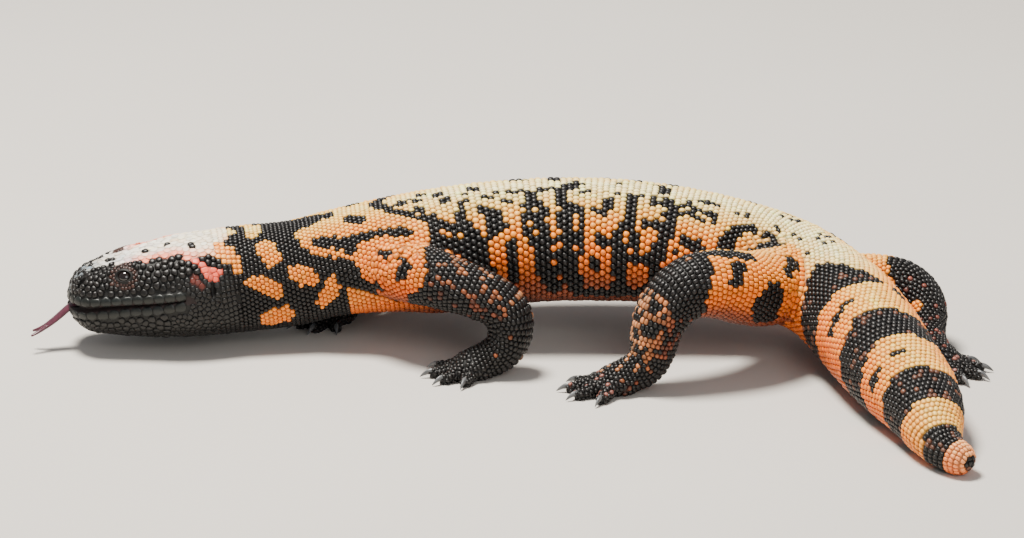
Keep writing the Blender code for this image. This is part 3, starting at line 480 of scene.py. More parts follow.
def limb_tube(joints, step, sides):
    """Closed mesh of a limb from end to end. With two radii, the first lies level and the second upward."""
    length = chord_lengths(joints[:, :3])[-1]
    wanted = np.linspace(0, length, max(3, round(length / step) + 1))
    middle, _, side, top, radii = limb_frames(joints, wanted)
    angle = np.arange(sides) * 2 * np.pi / sides
    rings = [middle[i] + np.outer(np.cos(angle) * radii[i, 0], side[i])
             + np.outer(np.sin(angle) * radii[i, -1], top[i]) for i in range(len(wanted))]
    return tube_mesh(rings, middle[0], middle[-1])


def ellipsoid_mesh(middle, radii, axes, sides=40, rows=22):
    """Closed ball with three radii along three directions."""
    polar = np.pi * np.arange(1, rows) / rows
    angle = np.arange(sides) * 2 * np.pi / sides
    rings = []
    for row in polar:
        offset = np.stack([np.cos(angle) * np.sin(row), np.sin(angle) * np.sin(row),
                           np.full(sides, np.cos(row))], 1)
        rings.append(middle + (offset * radii) @ axes)
    pole = axes[2] * radii[2]
    return tube_mesh(rings, middle + pole, middle - pole)


def merge_meshes(meshes):
    """One list of vertices and triangles from several."""
    points, faces, start = [], [], 0
    for some_points, some_faces in meshes:
        points.append(some_points)
        faces.append(some_faces + start)
        start += len(some_points)
    return np.concatenate(points), np.concatenate(faces)


def frame_towards(outward):
    """Three directions: level, upward and outward, for a detail that sits on a surface."""
    level = unit(np.cross(np.array(UP, float), outward))
    return np.array([level, np.cross(outward, level), outward])


def eye_middle(side):
    u, degrees = EYE_PLACE
    return body_point(u, side * degrees) - body_outward(u, side * degrees) * EYE_SINK


# Everything above is in the shape's own place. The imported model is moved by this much
EYE_LOW, EYE_HIGH = (np.array(corner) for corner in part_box("eye_left"))
SHIFT = (EYE_LOW + EYE_HIGH) / 2 - eye_middle(1)
SHIFT[2] = 0


def toe_lines(name, leg):
    """For each toe of a foot: its direction on the floor, and its joints from the palm to its end."""
    palm = np.array(leg["joints"][-1][:3]) * MM
    heading = unit(np.array([*leg["heading"], 0.0]))
    mirrored = 1 if name.endswith("left") else -1
    lines = []
    for turn, length in TOES[name.split("_")[0]]:
        angle = np.radians(turn) * mirrored
        ahead = np.array([heading[0] * np.cos(angle) - heading[1] * np.sin(angle),
                          heading[0] * np.sin(angle) + heading[1] * np.cos(angle), 0.0])
        reach = length * MM + TOE_INSIDE
        joints = []
        for share, radius, height in TOE_SHAPE:
            joints.append((*(palm + ahead * reach * share)[:2], height * MM, radius * MM))
        lines.append((ahead, np.array(joints)))
    return lines


def leg_samples(joints):
    """Distances along a leg, and its middle, direction, side, top and radii there."""
    at = np.arange(0, chord_lengths(joints[:, :3])[-1] + LEG_STEP, LEG_STEP)
    return (at, *limb_frames(joints, at))


def toe_samples(name):
    """Middles and radii along all toes of a foot."""
    middles, radii = [], []
    for _, toe in toe_lines(name, LEGS[name]):
        middle, _, radius = limb_path(toe, np.linspace(0, chord_lengths(toe[:, :3])[-1], TOE_STEPS))
        middles.append(middle)
        radii.append(radius[:, 0])
    return np.concatenate(middles), np.concatenate(radii)


# Step between the samples of a leg, and number of samples of a toe
LEG_STEP, TOE_STEPS = 0.5 * MM, 24
LEG_JOINTS = {name: np.array(leg["joints"], float) * MM for name, leg in LEGS.items()}
LEG_SAMPLES = {name: leg_samples(joints) for name, joints in LEG_JOINTS.items()}
TOE_SAMPLES = {name: toe_samples(name) for name in LEGS}
# Number of points compared with all samples at a time
BATCH = 2000


def nearest_sample(points, samples, radii):
    """For each point the sample whose ball's surface is nearest, and how far outside that ball it is."""
    best = np.empty(len(points), int)
    outside = np.empty(len(points))
    for start in range(0, len(points), BATCH):
        part = slice(start, start + BATCH)
        away = np.linalg.norm(points[part, None] - samples[None], axis=2) - radii
        best[part] = away.argmin(1)
        outside[part] = away.min(1)
    return best, outside


SPINE_U = np.arange(0, LENGTH, 1 * MM)
SPINE_MIDDLE = body_frame(SPINE_U)[0]
# Least distance from either end of the body that a place on it is given
SPINE_END = 0.3 * MM
# Rounds that bring a point's distance along the body closer
ALONG_ROUNDS = 2


def body_coordinates(points):
    """Distance along the body, signed angle from the ridge, and how far outside the plain body points are."""
    best, _ = nearest_sample(points, SPINE_MIDDLE, 0.0)
    u = SPINE_U[best]
    for _ in range(ALONG_ROUNDS):
        middle, left, up, _ = body_frame(u)
        u = np.clip(u + row_dots(points - middle, np.cross(up, left)), SPINE_END, LENGTH - SPINE_END)
    middle, left, up, sizes = body_frame(u)
    offset = points - middle
    side = row_dots(offset, left)
    height = row_dots(offset, up)
    tall = np.where(height >= 0, sizes[:, 1], sizes[:, 2])
    power = np.where(height >= 0, station_values(SQUARE_TOP, u), station_values(SQUARE_BOTTOM, u))
    across, upward = np.abs(side / sizes[:, 0]) ** (power / 2), np.abs(height / tall) ** (power / 2)
    angle = np.arctan2(across * np.sign(side), upward * np.sign(height))
    size = (across**2 + upward**2) ** (1 / power)
    reach = np.hypot(side, height)
    ends = np.linalg.norm(offset, axis=1) - reach
    return u, angle, reach * (1 - 1 / np.maximum(size, TINY)) + ends


def leg_coordinates(points, name):
    """Distance along a leg, signed angle from its top, how far outside it points are, and if on its foot."""
    at, middle, _, side, top, radii = LEG_SAMPLES[name]
    best, outside = nearest_sample(points, middle, radii[:, 0])
    offset = points - middle[best]
    angle = np.arctan2(row_dots(offset, side[best]), row_dots(offset, top[best]))
    _, toe_outside = nearest_sample(points, *TOE_SAMPLES[name])
    on_foot = toe_outside < outside
    return np.where(on_foot, at[-1], at[best]), angle, np.minimum(outside, toe_outside), on_foot


def whose(points):
    """Owner of each point, 0 for the body or the number of a leg, its place there, and if it's on a foot."""
    along, turn, least = body_coordinates(points)
    owner = np.zeros(len(points), int)
    foot = np.zeros(len(points), bool)
    for number, name in enumerate(LEGS, 1):
        s, leg_angle, leg_outside, on_foot = leg_coordinates(points, name)
        nearer = leg_outside < least
        owner[nearer], along[nearer], turn[nearer], least[nearer] = (
            number, s[nearer], leg_angle[nearer], leg_outside[nearer])
        foot[nearer] = on_foot[nearer]
    return owner, along, turn, foot


def new_object(name, points, faces, finish=None):
    mesh = bpy.data.meshes.new(name)
    mesh.vertices.add(len(points))
    mesh.vertices.foreach_set("co", np.asarray(points, np.float32).ravel())
    mesh.loops.add(faces.size)
    mesh.loops.foreach_set("vertex_index", np.asarray(faces, np.int32).ravel())
    mesh.polygons.add(len(faces))
    mesh.polygons.foreach_set("loop_start", np.arange(len(faces), dtype=np.int32) * faces.shape[1])
    mesh.update(calc_edges=True)
    mesh.shade_smooth()
    if finish:
        mesh.materials.append(finish)
    made = bpy.data.objects.new(name, mesh)
    bpy.context.scene.collection.objects.link(made)
    return made


def evaluated_arrays(thing):
    """Vertices and triangles of an object with its modifiers applied."""
    bpy.context.view_layer.update()
    graph = bpy.context.evaluated_depsgraph_get()
    mesh = thing.evaluated_get(graph).to_mesh()
    points = np.empty(len(mesh.vertices) * 3, np.float32)
    mesh.vertices.foreach_get("co", points)
    mesh.calc_loop_triangles()
    faces = np.empty(len(mesh.loop_triangles) * 3, np.int32)
    mesh.loop_triangles.foreach_get("vertices", faces)
    thing.evaluated_get(graph).to_mesh_clear()
    return points.reshape(-1, 3).astype(float), faces.reshape(-1, 3)


def remeshed(points, faces, voxel):
    """One closed surface round all the overlapping meshes."""
    block = new_object("block", points, faces)
    modifier = block.modifiers.new("Remesh", "REMESH")
    modifier.mode = "VOXEL"
    modifier.voxel_size = voxel
    result = evaluated_arrays(block)
    bpy.data.objects.remove(block)
    return result


def boolean(points, faces, operation, others):
    """The mesh joined with, or cut by, other closed meshes."""
    target = new_object("target", points, faces)
    operands = [new_object(f"operand_{number}", *other) for number, other in enumerate(others)]
    for operand in operands:
        modifier = target.modifiers.new("Boolean", "BOOLEAN")
        modifier.operation = operation
        modifier.object = operand
        modifier.solver = "MANIFOLD"
    result = evaluated_arrays(target)
    for thing in [*operands, target]:
        bpy.data.objects.remove(thing)
    return result


def vertex_normals(points, faces):
    corners = points[faces]
    area = np.cross(corners[:, 1] - corners[:, 0], corners[:, 2] - corners[:, 0])
    total = np.zeros_like(points)
    for k in range(3):
        np.add.at(total, faces[:, k], area)
    return unit(total)


def smoothed(points, faces, rounds, amount):
    """Moves each vertex towards the middle of its neighbours, by an amount of its own."""
    ends = np.concatenate([faces[:, [0, 1]], faces[:, [1, 2]], faces[:, [2, 0]]])
    count = np.bincount(ends[:, 0], minlength=len(points))[:, None]
    result = points.copy()
    for _ in range(rounds):
        total = np.stack([np.bincount(ends[:, 0], result[ends[:, 1], k], len(points)) for k in range(3)], 1)
        result += (total / np.maximum(count, 1) - result) * amount[:, None]
    return result


def mouth_angle(u):
    """Angle from the ridge down to the line of the mouth."""
    rise = MOUTH_RISE[0] + (MOUTH_RISE[1] - MOUTH_RISE[0]) * u / MOUTH_CORNER
    share = np.clip(rise / body_frame(u)[3][0, 1], 0, 1)
    return np.degrees(np.arccos(share ** (station_values(SQUARE_TOP, u) / 2)))


def mouth_line(places, offset_up, inward):
    """Points along the lips: the places with a sign for the side, raised and moved inward."""
    line = []
    for u, side in places:
        degrees = side * mouth_angle(u)
        outward = unit(body_outward(u, degrees) * (1, 1, 0))
        line.append(body_point(u, degrees) - outward * inward + np.array([0, 0, offset_up]))
    return np.array(line)


# Fineness of the small parts: step along and sides round, or sides and rows of a ball
LIP_MESH, BROW_MESH, PIT_MESH = (1.5 * MM, 14), (1 * MM, 16), (24, 14)
TONGUE_MESH, TONGUE_CUT_MESH, TINE_MESH = (0.6 * MM, 20), (1.5 * MM, 20), (0.5 * MM, 14)
CLAW_MESH = 0.5 * MM, 16
LEG_MESH, TOE_MESH, TOE_END_MESH = (1 * MM, 48), (0.7 * MM, 18), (18, 12)
BODY_SIDES = 150
# Rings of the body near the snout and near the tail's tip: first and last distance in millimetres, and number
SNOUT_RINGS, TAIL_RINGS = (0.25, 9, 24), (6, 0.25, 14)
# Distance between the points of the line of the mouth, for its plates, its cutter and its lips
LIP_STEP, CUTTER_STEP, LIP_JOINT_STEP = 1 * MM, 2 * MM, 4 * MM
# How far that line stays from the snout
MOUTH_START = 1.2 * MM


def round_the_mouth(step):
    """Places from the left corner of the mouth round the snout to the right corner."""
    places = np.arange(MOUTH_CORNER, MOUTH_START, -step)
    return [(u, 1) for u in places] + [(u, -1) for u in places[::-1]]


def mouth_cutter():
    """Ribbon that cuts the line of the mouth: deep and open at the front, fine at the corners."""
    places = round_the_mouth(CUTTER_STEP)
    inner, outer = mouth_line(places, 0, MOUTH_DEPTH), mouth_line(places, 0, -MOUTH_REACH)
    from_corner = 1 - np.abs(np.linspace(-1, 1, len(inner)))
    half = MOUTH_GAPE[0] + (MOUTH_GAPE[1] - MOUTH_GAPE[0]) * from_corner**2
    inside = np.outer(half, UP)
    outside = inside * MOUTH_FLARE
    rings = np.stack([inner + inside, outer + outside, outer - outside, inner - inside], 1)
    return tube_mesh(list(rings), rings[0].mean(0), rings[-1].mean(0))


def lip_tube(offset_up):
    """Low rounded ridge along one lip."""
    line = mouth_line(round_the_mouth(LIP_JOINT_STEP), offset_up, LIP_SINK)
    radius = np.full(len(line), LIP_RADIUS - SKIN_SINK / 2)
    radius[[0, -1]] = LIP_RADIUS / 2
    return limb_tube(np.column_stack([line, radius]), *LIP_MESH)


def brow_tube(side):
    """Low ridge over one eye."""
    joints = []
    for behind, above, radius in BROW:
        u, degrees = EYE_PLACE[0] + behind * MM, side * (EYE_PLACE[1] - above)
        joints.append((*(body_point(u, degrees) - body_outward(u, degrees) * BROW_SINK), radius * MM))
    return limb_tube(np.array(joints), *BROW_MESH)


def pit(side, place, radii):
    """Cutter for a nostril or an ear."""
    u, degrees = place
    outward = body_outward(u, side * degrees)
    return ellipsoid_mesh(body_point(u, side * degrees), radii, frame_towards(outward), *PIT_MESH)


def eye_axes(side):
    u, degrees = EYE_PLACE
    return frame_towards(unit(body_outward(u, side * degrees) * (1, 1, EYE_LEAN)))


# The swelling of the lids, the cutter for the almond between them, and the eyeball: how far each lies out
# from the eyeball's middle, its half sizes, and its sides and rows
LIDS = 0.2 * MM, np.array([4.6, 3.8, 3.05]) * MM, 48, 30
ALMOND = 3.8 * MM, np.array([3.3, 2.35, 2.7]) * MM, 40, 24
EYEBALL = 0, np.full(3, EYE_RADIUS), 48, 32


def eye_part(side, out, size, sides, rows):
    axes = eye_axes(side)
    return ellipsoid_mesh(eye_middle(side) + axes[2] * out, size, axes, sides, rows)


def tongue_mesh(clearance, step, sides):
    joints = np.array(TONGUE, float) * MM
    joints[:, 3:] += clearance
    return limb_tube(joints, step, sides)


def body_loft():
    """Fine closed mesh of the body, sunk under its plain surface, with closer rings at both ends."""
    middle_rings = np.arange(SNOUT_RINGS[1] + 1, LENGTH / MM - TAIL_RINGS[0], 1.0)
    tail_rings = LENGTH / MM - np.linspace(*TAIL_RINGS)
    run = np.concatenate([np.linspace(*SNOUT_RINGS), middle_rings, tail_rings]) * MM
    angle = np.linspace(0, 2 * np.pi, BODY_SIDES, endpoint=False)
    rings = []
    for u in run:
        middle = body_frame(u)[0][0]
        ring = body_points(np.full(BODY_SIDES, u), angle)
        rings.append(ring - unit(ring - middle) * SKIN_SINK)
    return tube_mesh(rings, body_frame(0)[0][0], body_frame(LENGTH)[0][0])


def ball(joint, *fineness):
    """Ball at a joint of a limb, with its radius."""
    return ellipsoid_mesh(joint[:3], np.full(3, joint[3]), np.eye(3), *fineness)


# How much thinner the skin of palms and toes is than their solids
PALM_THIN, TOE_THIN = 0.2 * MM, 0.15 * MM


def leg_meshes(name):
    """Overlapping closed meshes of a leg: its length, the ball at its wrist, the palm and the toes."""
    leg = LEGS[name]
    joints = LEG_JOINTS[name].copy()
    joints[:, 3] -= SKIN_SINK
    heading = unit(np.array([*leg["heading"], 0.0]))
    axes = np.array([heading, np.cross(UP, heading), UP])
    palm = joints[-1, :3] * (1, 1, 0) + np.array([0, 0, PALM_SIZE[2] - PALM_SINK])
    meshes = [limb_tube(joints, *LEG_MESH), ball(joints[-1])]
    meshes.append(ellipsoid_mesh(palm, PALM_SIZE - PALM_THIN, axes))
    for _, toe in toe_lines(name, leg):
        toe[:, 3] -= TOE_THIN
        meshes += [limb_tube(toe, *TOE_MESH), ball(toe[-1], *TOE_END_MESH)]
    return meshes


# Creases of the skin in millimetres: the same form as the marks, with the depth in place of the half width
FOLDS = {
    "arm_a": [(127.5, 26.4, 2.3), (122, 29.3, 1.6), (113, 30.2, 0.4)],
    "arm_b": [(128, 24.6, 1.9), (122, 24.2, 1.2), (114, 22.6, 0.3)],
    "arm_c": [(126.4, 29, 1.7), (123.4, 33, 1.7), (122.5, 39, 0.5)],
    "arm_d": [(127, 22.4, 0.9), (120, 21, 0.6), (112, 20.4, 0.2)],
    "arm_e": [(125, 27.4, 0.8), (118, 27, 0.6), (111, 26, 0.2)],
    "arm_f": [(131.4, 29, 0.9), (131, 36, 0.8), (129, 43, 0.5)],
    "chest": [(104, 36, 0.3), (113, 41, 0.9), (122, 46, 1.0), (134, 47, 0.8)],
    "neck_a": [(62, 18, 0.3), (63, 30, 0.7), (64, 44, 0.5)],
    "neck_b": [(86, 22, 0.2), (88, 36, 0.5), (86, 48, 0.4)],
    "flank": [(140, 46, 0.2), (165, 45, 0.6), (200, 46, 0.6), (225, 44, 0.4)],
    "groin": [(226, 40, 0.4), (240, 34, 0.8), (258, 30, 0.5)],
}
FOLD_WIDTH = 1.2
ARM_FOLDS_END = 32 * MM


def stroke_depth(u, arc, stroke):
    """How deep each place lies in a stroke: positive inside. Also the third value at the nearest point."""
    best = np.full(len(u), -np.inf)
    value = np.zeros(len(u))
    for (u0, a0, r0), (u1, a1, r1) in zip(stroke[:-1], stroke[1:]):
        du, da = u1 - u0, a1 - a0
        t = np.clip(((u - u0) * du + (arc - a0) * da) / (du * du + da * da), 0, 1)
        radius = r0 + (r1 - r0) * t
        depth = radius - np.hypot(u - u0 - du * t, arc - a0 - da * t)
        better = depth > best
        best = np.where(better, depth, best)
        value = np.where(better, radius, value)
    return best, value


# How the marks of the right side differ: the way down over which that sets in and their shift along the body,
# then the waves of that shift, and those of their way down as a share of it
FAR_FADE, FAR_SHIFT = 8, 3.0
SHIFT_WAVE, SHIFT_WAVELENGTH = 2.5, 19.0
DOWN_WAVE, DOWN_WAVELENGTH = 0.06, 13.0


def mirrored_places(u, arc):
    """Places on the right side, led a little away from the left ones so that the two sides differ."""
    away = np.clip(-arc / FAR_FADE, 0, 1)
    shifted = u + away * (FAR_SHIFT + SHIFT_WAVE * np.sin(u / SHIFT_WAVELENGTH))
    down = -arc * (1 + DOWN_WAVE * np.sin(u / DOWN_WAVELENGTH))
    return np.where(arc < 0, shifted, u), np.where(arc < 0, down, arc)


def crease(points, normals):
    """Presses the folds into the skin."""
    owner, leg_along, _, _ = whose(points)
    along, turn, _ = body_coordinates(points)
    u, arc = mirrored_places(along / MM, arc_of(along, turn) / MM)
    depth = np.zeros(len(points))
    for stroke in FOLDS.values():
        inside, strength = stroke_depth(u, arc, stroke)
        away = strength - inside
        depth = np.maximum(depth, strength * np.exp(-((away / FOLD_WIDTH) ** 2)))
    depth[(owner != 0) & (leg_along > ARM_FOLDS_END)] = 0
    return points - normals * (depth * MM)[:, None]


# Rounds and strength of the smoothing, over the whole skin and where a leg grows out of the body
SMOOTH_ROUNDS, SMOOTH_SHARE = 3, 0.35
JOIN_ROUNDS, JOIN_SHARE = 24, 0.6
# That smoothing fades with the distance from both surfaces, and ends at this many times the width
JOIN_REACH, JOIN_WIDTH = 1.5, 3 * MM
# Least height of the skin over the floor, and the gap it leaves round the tongue
SKIN_LIFT, TONGUE_GAP = 0.25 * MM, 0.25 * MM


def make_skin_mesh():
    meshes = [body_loft(), lip_tube(LIP_OFFSET), lip_tube(-LIP_OFFSET), brow_tube(1), brow_tube(-1)]
    for name in LEGS:
        meshes += leg_meshes(name)
    points, faces = remeshed(*merge_meshes(meshes), SKIN_VOXEL)
    _, _, body_outside = body_coordinates(points)
    near_join = np.zeros(len(points))
    for name in LEGS:
        _, _, leg_outside, _ = leg_coordinates(points, name)
        far = np.maximum(np.abs(body_outside), np.abs(leg_outside))
        near_join = np.maximum(near_join, np.clip(JOIN_REACH - far / JOIN_WIDTH, 0, 1))
    points = smoothed(points, faces, SMOOTH_ROUNDS, np.full(len(points), SMOOTH_SHARE))
    points = smoothed(points, faces, JOIN_ROUNDS, near_join * JOIN_SHARE)
    points = crease(points, vertex_normals(points, faces))
    points[:, 2] = np.maximum(points[:, 2], SKIN_LIFT)
    points, faces = boolean(points, faces, "UNION", [eye_part(side, *LIDS) for side in (1, -1)])
    cutters = [mouth_cutter(), tongue_mesh(TONGUE_GAP, *TONGUE_CUT_MESH)]
    for side in (1, -1):
        cutters += [eye_part(side, *ALMOND), *[pit(side, *hole) for hole in HOLES]]
    return boolean(points, faces, "DIFFERENCE", cutters)


def linear(colour):
    """Daylight values 0 to 255 as linear light."""
    c = np.asarray(colour, float) / 255
    return np.where(c <= 0.04045, c / 12.92, ((c + 0.055) / 1.055) ** 2.4)


def lookup(x, pairs):
    """The second values of the pairs, read at x between the first ones."""
    return np.interp(x, *np.array(pairs).T)


def ramp(x, stops):
    """Colour between stops of (place, colour)."""
    at = [stop[0] for stop in stops]
    colours = np.array([linear(stop[1]) for stop in stops])
    return np.stack([np.interp(x, at, colours[:, k]) for k in range(3)], 1)


# Pale colours down the side of each stretch of the body: way down from the ridge in millimetres, and colour
# They run lighter on the back and darker below, partly as painted light from above and painted shade
# underneath
NECK_SHADES = [(0, (255, 218, 132)), (6, (255, 198, 92)), (14, (255, 163, 57)), (28, (250, 144, 44)),
               (40, (250, 146, 50)), (48, (222, 108, 28)), (56, RUST)]
TORSO_SHADES = [(0, CREAM), (9, (255, 224, 146)), (16, (255, 196, 96)), (26, APRICOT), (37, ORANGE),
                (47, RUST), (60, MAROON)]
RUMP_SHADES = [(0, CREAM), (8, (255, 224, 150)), (15, (255, 192, 92)), (26, (255, 148, 44)), (36, ORANGE),
               (50, RUST)]
TAIL_SHADES = [(0, (255, 202, 99)), (7, (255, 184, 78)), (16, (255, 153, 49)), (28, (244, 120, 29)),
               (42, RUST)]
TIP_SHADES = [(0, (255, 176, 112)), (12, (250, 132, 70)), (30, RUST)]
# Distance from the snout at which each holds, with the ones between mixed
BODY_SHADES = [(60, NECK_SHADES), (118, NECK_SHADES), (145, TORSO_SHADES), (235, TORSO_SHADES),
               (262, RUMP_SHADES), (290, RUMP_SHADES), (312, TAIL_SHADES), (405, TAIL_SHADES),
               (416, TIP_SHADES)]


def pale_body_colour(u, arc):
    """Colour of the pale beads of the body: cream on the back, orange down the side, rust below, partly as
    painted light and shade.
    """
    tables = [(at, ramp(np.abs(arc), shades)) for at, shades in BODY_SHADES]
    result = tables[0][1]
    for (start, _), (end, table) in zip(tables[:-1], tables[1:]):
        mix = np.clip((u - start) / (end - start), 0, 1)[:, None]
        result = result * (1 - mix) + table * mix
    return result


def in_strokes(u, arc, strokes):
    inside = np.zeros(len(u), bool)
    for stroke in strokes:
        inside |= stroke_depth(u, arc, stroke)[0] > 0
    return inside


def in_patches(u, arc, patches, chance):
    """True for a patch's share of the places in it, picked by each one's chance."""
    inside = np.zeros(len(u), bool)
    for middle_u, middle_arc, half_u, half_arc, share in patches:
        near = ((u - middle_u) / half_u) ** 2 + ((arc - middle_arc) / half_arc) ** 2 < 1
        inside |= near & (chance < share)
    return inside


# The neck is dark between the first two distances from the snout, further down than the third value
DARK_NECK = (60, 103, 4)
# The dark bands of the tail start past this distance
TAIL_MARKS_START = 288


def body_markings(u, arc, chance):
    """Whether each bead of the body is dark, and its colour if it's pale. Distances are in millimetres."""
    at, way = mirrored_places(u, arc)
    start, end, down = DARK_NECK
    dark = (at > start) & (at < end) & (way > down)
    dark |= in_strokes(at, way, DARK_MARKS.values())
    dark &= ~in_strokes(at, way, PALE_MARKS.values())
    dark |= in_strokes(at, way, [DARK_MARKS[name] for name in OVER_PALE])
    dark &= ~in_strokes(at, way, [PEACH_PATCH])
    dark |= in_patches(u, arc, SPECKLED, chance)
    for bead_u, bead_arc in PALE_BEADS:
        dark &= np.hypot(at - bead_u, way - bead_arc) > PALE_BEAD_REACH
    banded = np.zeros(len(u), bool)
    for starts, ends in TAIL_BANDS:
        banded |= (u > lookup(arc, starts)) & (u < lookup(arc, ends))
    colour = pale_body_colour(u, arc)
    dull = banded & (chance < DULL_SHARE)
    colour[dull] = linear(DULL_BROWN)
    banded = (banded & ~dull) | in_strokes(u, arc, TAIL_DASHES)
    return np.where(u > TAIL_MARKS_START, banded, dark), colour


# Colours of the top of the head from the snout back, its grey-blue at the snout a painted sheen over the dark
# snout, and of its pink rim
CROWN_SHADES_AND_SHEEN = [(0, (74, 79, 84)), (7, (122, 127, 130)), (15, (214, 210, 202)), (28, (250, 240, 226)),
                (62, (246, 230, 200))]
RIM_SHADES = [(22, (222, 196, 190)), (28, PINK), (46, PINK), (54, (244, 178, 132)), (64, (246, 184, 124))]
# The rim: where it starts, its width, how much of that is full pink, and its least way down, in millimetres
RIM_START, RIM_WIDTH, RIM_FULL, RIM_DOWN = 22, 5.5, 0.3, 1
# Stretch in millimetres from the snout over which the right side comes to differ from the left
FAR_CROWN_FROM, FAR_CROWN_FADE = 8, 8


def head_markings(u, arc, chance):
    """Whether each plate of the head is dark, and its colour if it's pale."""
    further = FAR_CROWN * np.clip((u - FAR_CROWN_FROM) / FAR_CROWN_FADE, 0, 1)
    down = np.where(arc < 0, np.maximum(-arc - further, 0), arc)
    edge = lookup(u, HEAD_EDGE)
    # The crown's colour carries a painted sheen at the snout
    colour, rim = ramp(u, CROWN_SHADES_AND_SHEEN), ramp(u, RIM_SHADES)
    near_edge = np.clip(1 + RIM_FULL - (edge - down) / RIM_WIDTH, 0, 1)
    near_edge[(u <= RIM_START) | (down <= RIM_DOWN)] = 0
    colour = colour * (1 - near_edge[:, None]) + rim * near_edge[:, None]
    dark = (down > edge) | in_patches(u, arc, HEAD_SPECKS, chance)
    for stroke, patch in ((SALMON_PATCH, SALMON), (PEACH_PATCH, PEACH), (EAR_RUST, EAR_BROWN)):
        inside = in_strokes(u, down, [stroke])
        colour[inside] = linear(patch)
        dark &= ~inside
    return dark, colour


# Length of a degree round a leg, in millimetres, in the marks below
LEG_ARC = 0.19
# Dark and pale marks of the legs: distance along the leg, degrees from its top, half width in millimetres
LEG_SPOTS = {
    "front": [[(11, -46, 1.1), (15, -43, 1.6), (17, -38, 0.8)],
              [(22.2, -86, 1.1), (23.2, -70, 1.9), (25, -54, 1.0)],
              [(20.5, -46, 0.8), (23.4, -52, 0.8)], [(2, -122, 3), (12, -112, 2)]],
    "hind": [[(16, 36, 1.6), (19, 44, 2.4), (23, 52, 2.0)], [(43, 54, 2.4), (44.5, 74, 1.9)],
             [(31, 94, 4.4), (31.5, 110, 5.4), (30, 128, 4.2)], [(48, 8, 3.2), (42, 14, 3.2), (37, 20, 2.4)],
             [(17.5, -17, 2.0), (12, -18, 2.8), (8, -20, 3.2), (7.4, -8, 2.4)]],
    "hind_right": [],
}
LEG_PALE_SPOTS = {"front": [], "hind": [], "hind_right": [[(53, -75, 3.0), (54.5, -52, 2.6)]]}
# Where the pale upper part of each leg ends: degrees from its top, and distance along the leg
LEG_EDGE = {
    "front": [(-180, 20), (-120, 25), (-90, 31), (-60, 31), (-30, 27.5), (0, 25), (60, 22), (180, 20)],
    "hind": [(-180, 55), (-30, 50), (30, 50), (60, 51), (90, 53), (110, 55), (180, 56)],
    "hind_right": [(-180, 42), (-120, 40), (-90, 38), (-60, 33), (-45, 31), (0, 30), (90, 36), (180, 42)],
}
# Share of pale beads past that edge by distance along the leg, and what is left of it by degrees from the top
LEG_SHARE = {
    "front": [(30, 0.08), (34, 0.27), (58, 0.3), (63, 0.06), (84, 0.02)],
    "hind": [(50, 0.02), (65, 0.04), (67, 0.56), (82, 0.56), (86, 0.18), (100, 0.1)],
    "hind_right": [(30, 0.02), (58, 0.04), (62, 0.2), (72, 0.14), (76, 0.05)],
}
LEG_UNDER_SHARE = [(90, 1), (130, 0.25)]
# Colours of the upper parts of the legs and of the pale beads further down, by degrees from the top
# They run darker towards the underside, partly as painted shade, as on the body
THIGH_SHADES = [(0, (255, 186, 84)), (35, (255, 160, 48)), (75, (255, 142, 30)), (110, (240, 122, 24)),
                (135, RUST), (180, MAROON)]
ARM_SHADES = [(0, (250, 158, 56)), (45, (240, 138, 40)), (90, (236, 126, 32)), (115, (222, 100, 24)),
              (140, RUST), (180, MAROON)]
LEG_BEAD_SHADES = {
    "front": [(0, (178, 122, 84)), (50, (170, 98, 56)), (90, (130, 66, 40)), (130, MAROON)],
    "hind": [(0, (214, 150, 102)), (60, (212, 130, 76)), (100, (142, 70, 42)), (150, MAROON)],
    "hind_right": [(0, (150, 84, 70)), (180, MAROON)],
}
TOE_BEADS = (150, 96, 84)
# Least strength of the colour of a leg's pale beads
LEG_DULL = 0.3
# Least share of pale beads that a bead's chance is set against
LEAST_SHARE = 0.01
# From here on down a leg the painted shade in the gaps between its pale beads is dark
SHIN_START = 52 * MM


def leg_markings(name, s, degrees, foot, chance):
    """Whether each bead of a leg is dark, and its colour if it's pale."""
    kind = name if name == "hind_right" else name.split("_")[0]
    turn = -degrees if name == "front_right" else degrees
    around = turn * LEG_ARC
    spots, pale_spots = ([[(a, b * LEG_ARC, c) for a, b, c in mark] for mark in marks[kind]]
                         for marks in (LEG_SPOTS, LEG_PALE_SPOTS))
    past = s > lookup(turn, LEG_EDGE[kind])
    share = lookup(s, LEG_SHARE[kind]) * lookup(np.abs(turn), LEG_UNDER_SHARE)
    spotted = in_strokes(s, around, pale_spots)
    dark = (past & ~spotted & (chance >= share)) | in_strokes(s, around, spots)
    thigh = ramp(np.abs(turn), ARM_SHADES if kind == "front" else THIGH_SHADES)
    beads = ramp(np.abs(turn), LEG_BEAD_SHADES[kind])
    strength = np.clip(chance / np.maximum(share, LEAST_SHARE), 0, 1)
    beads = beads * (LEG_DULL + (1 - LEG_DULL) * strength)[:, None]
    pale = np.where((past & ~spotted)[:, None], beads, thigh)
    pale[foot] = linear(TOE_BEADS)
    return dark, pale


# Dark strokes over the root of the thigh, in the body's own coordinates, and how far down the leg they reach
HIP_MARKS = [[(260, 14.2, 2.2), (265, 14.2, 3.6), (271, 13.2, 2.8)],
             [(262.6, 17.5, 2.4), (260, 21, 2.7), (256, 25, 2.0), (250, 26.8, 1.8)]]
HIP_END = 30 * MM


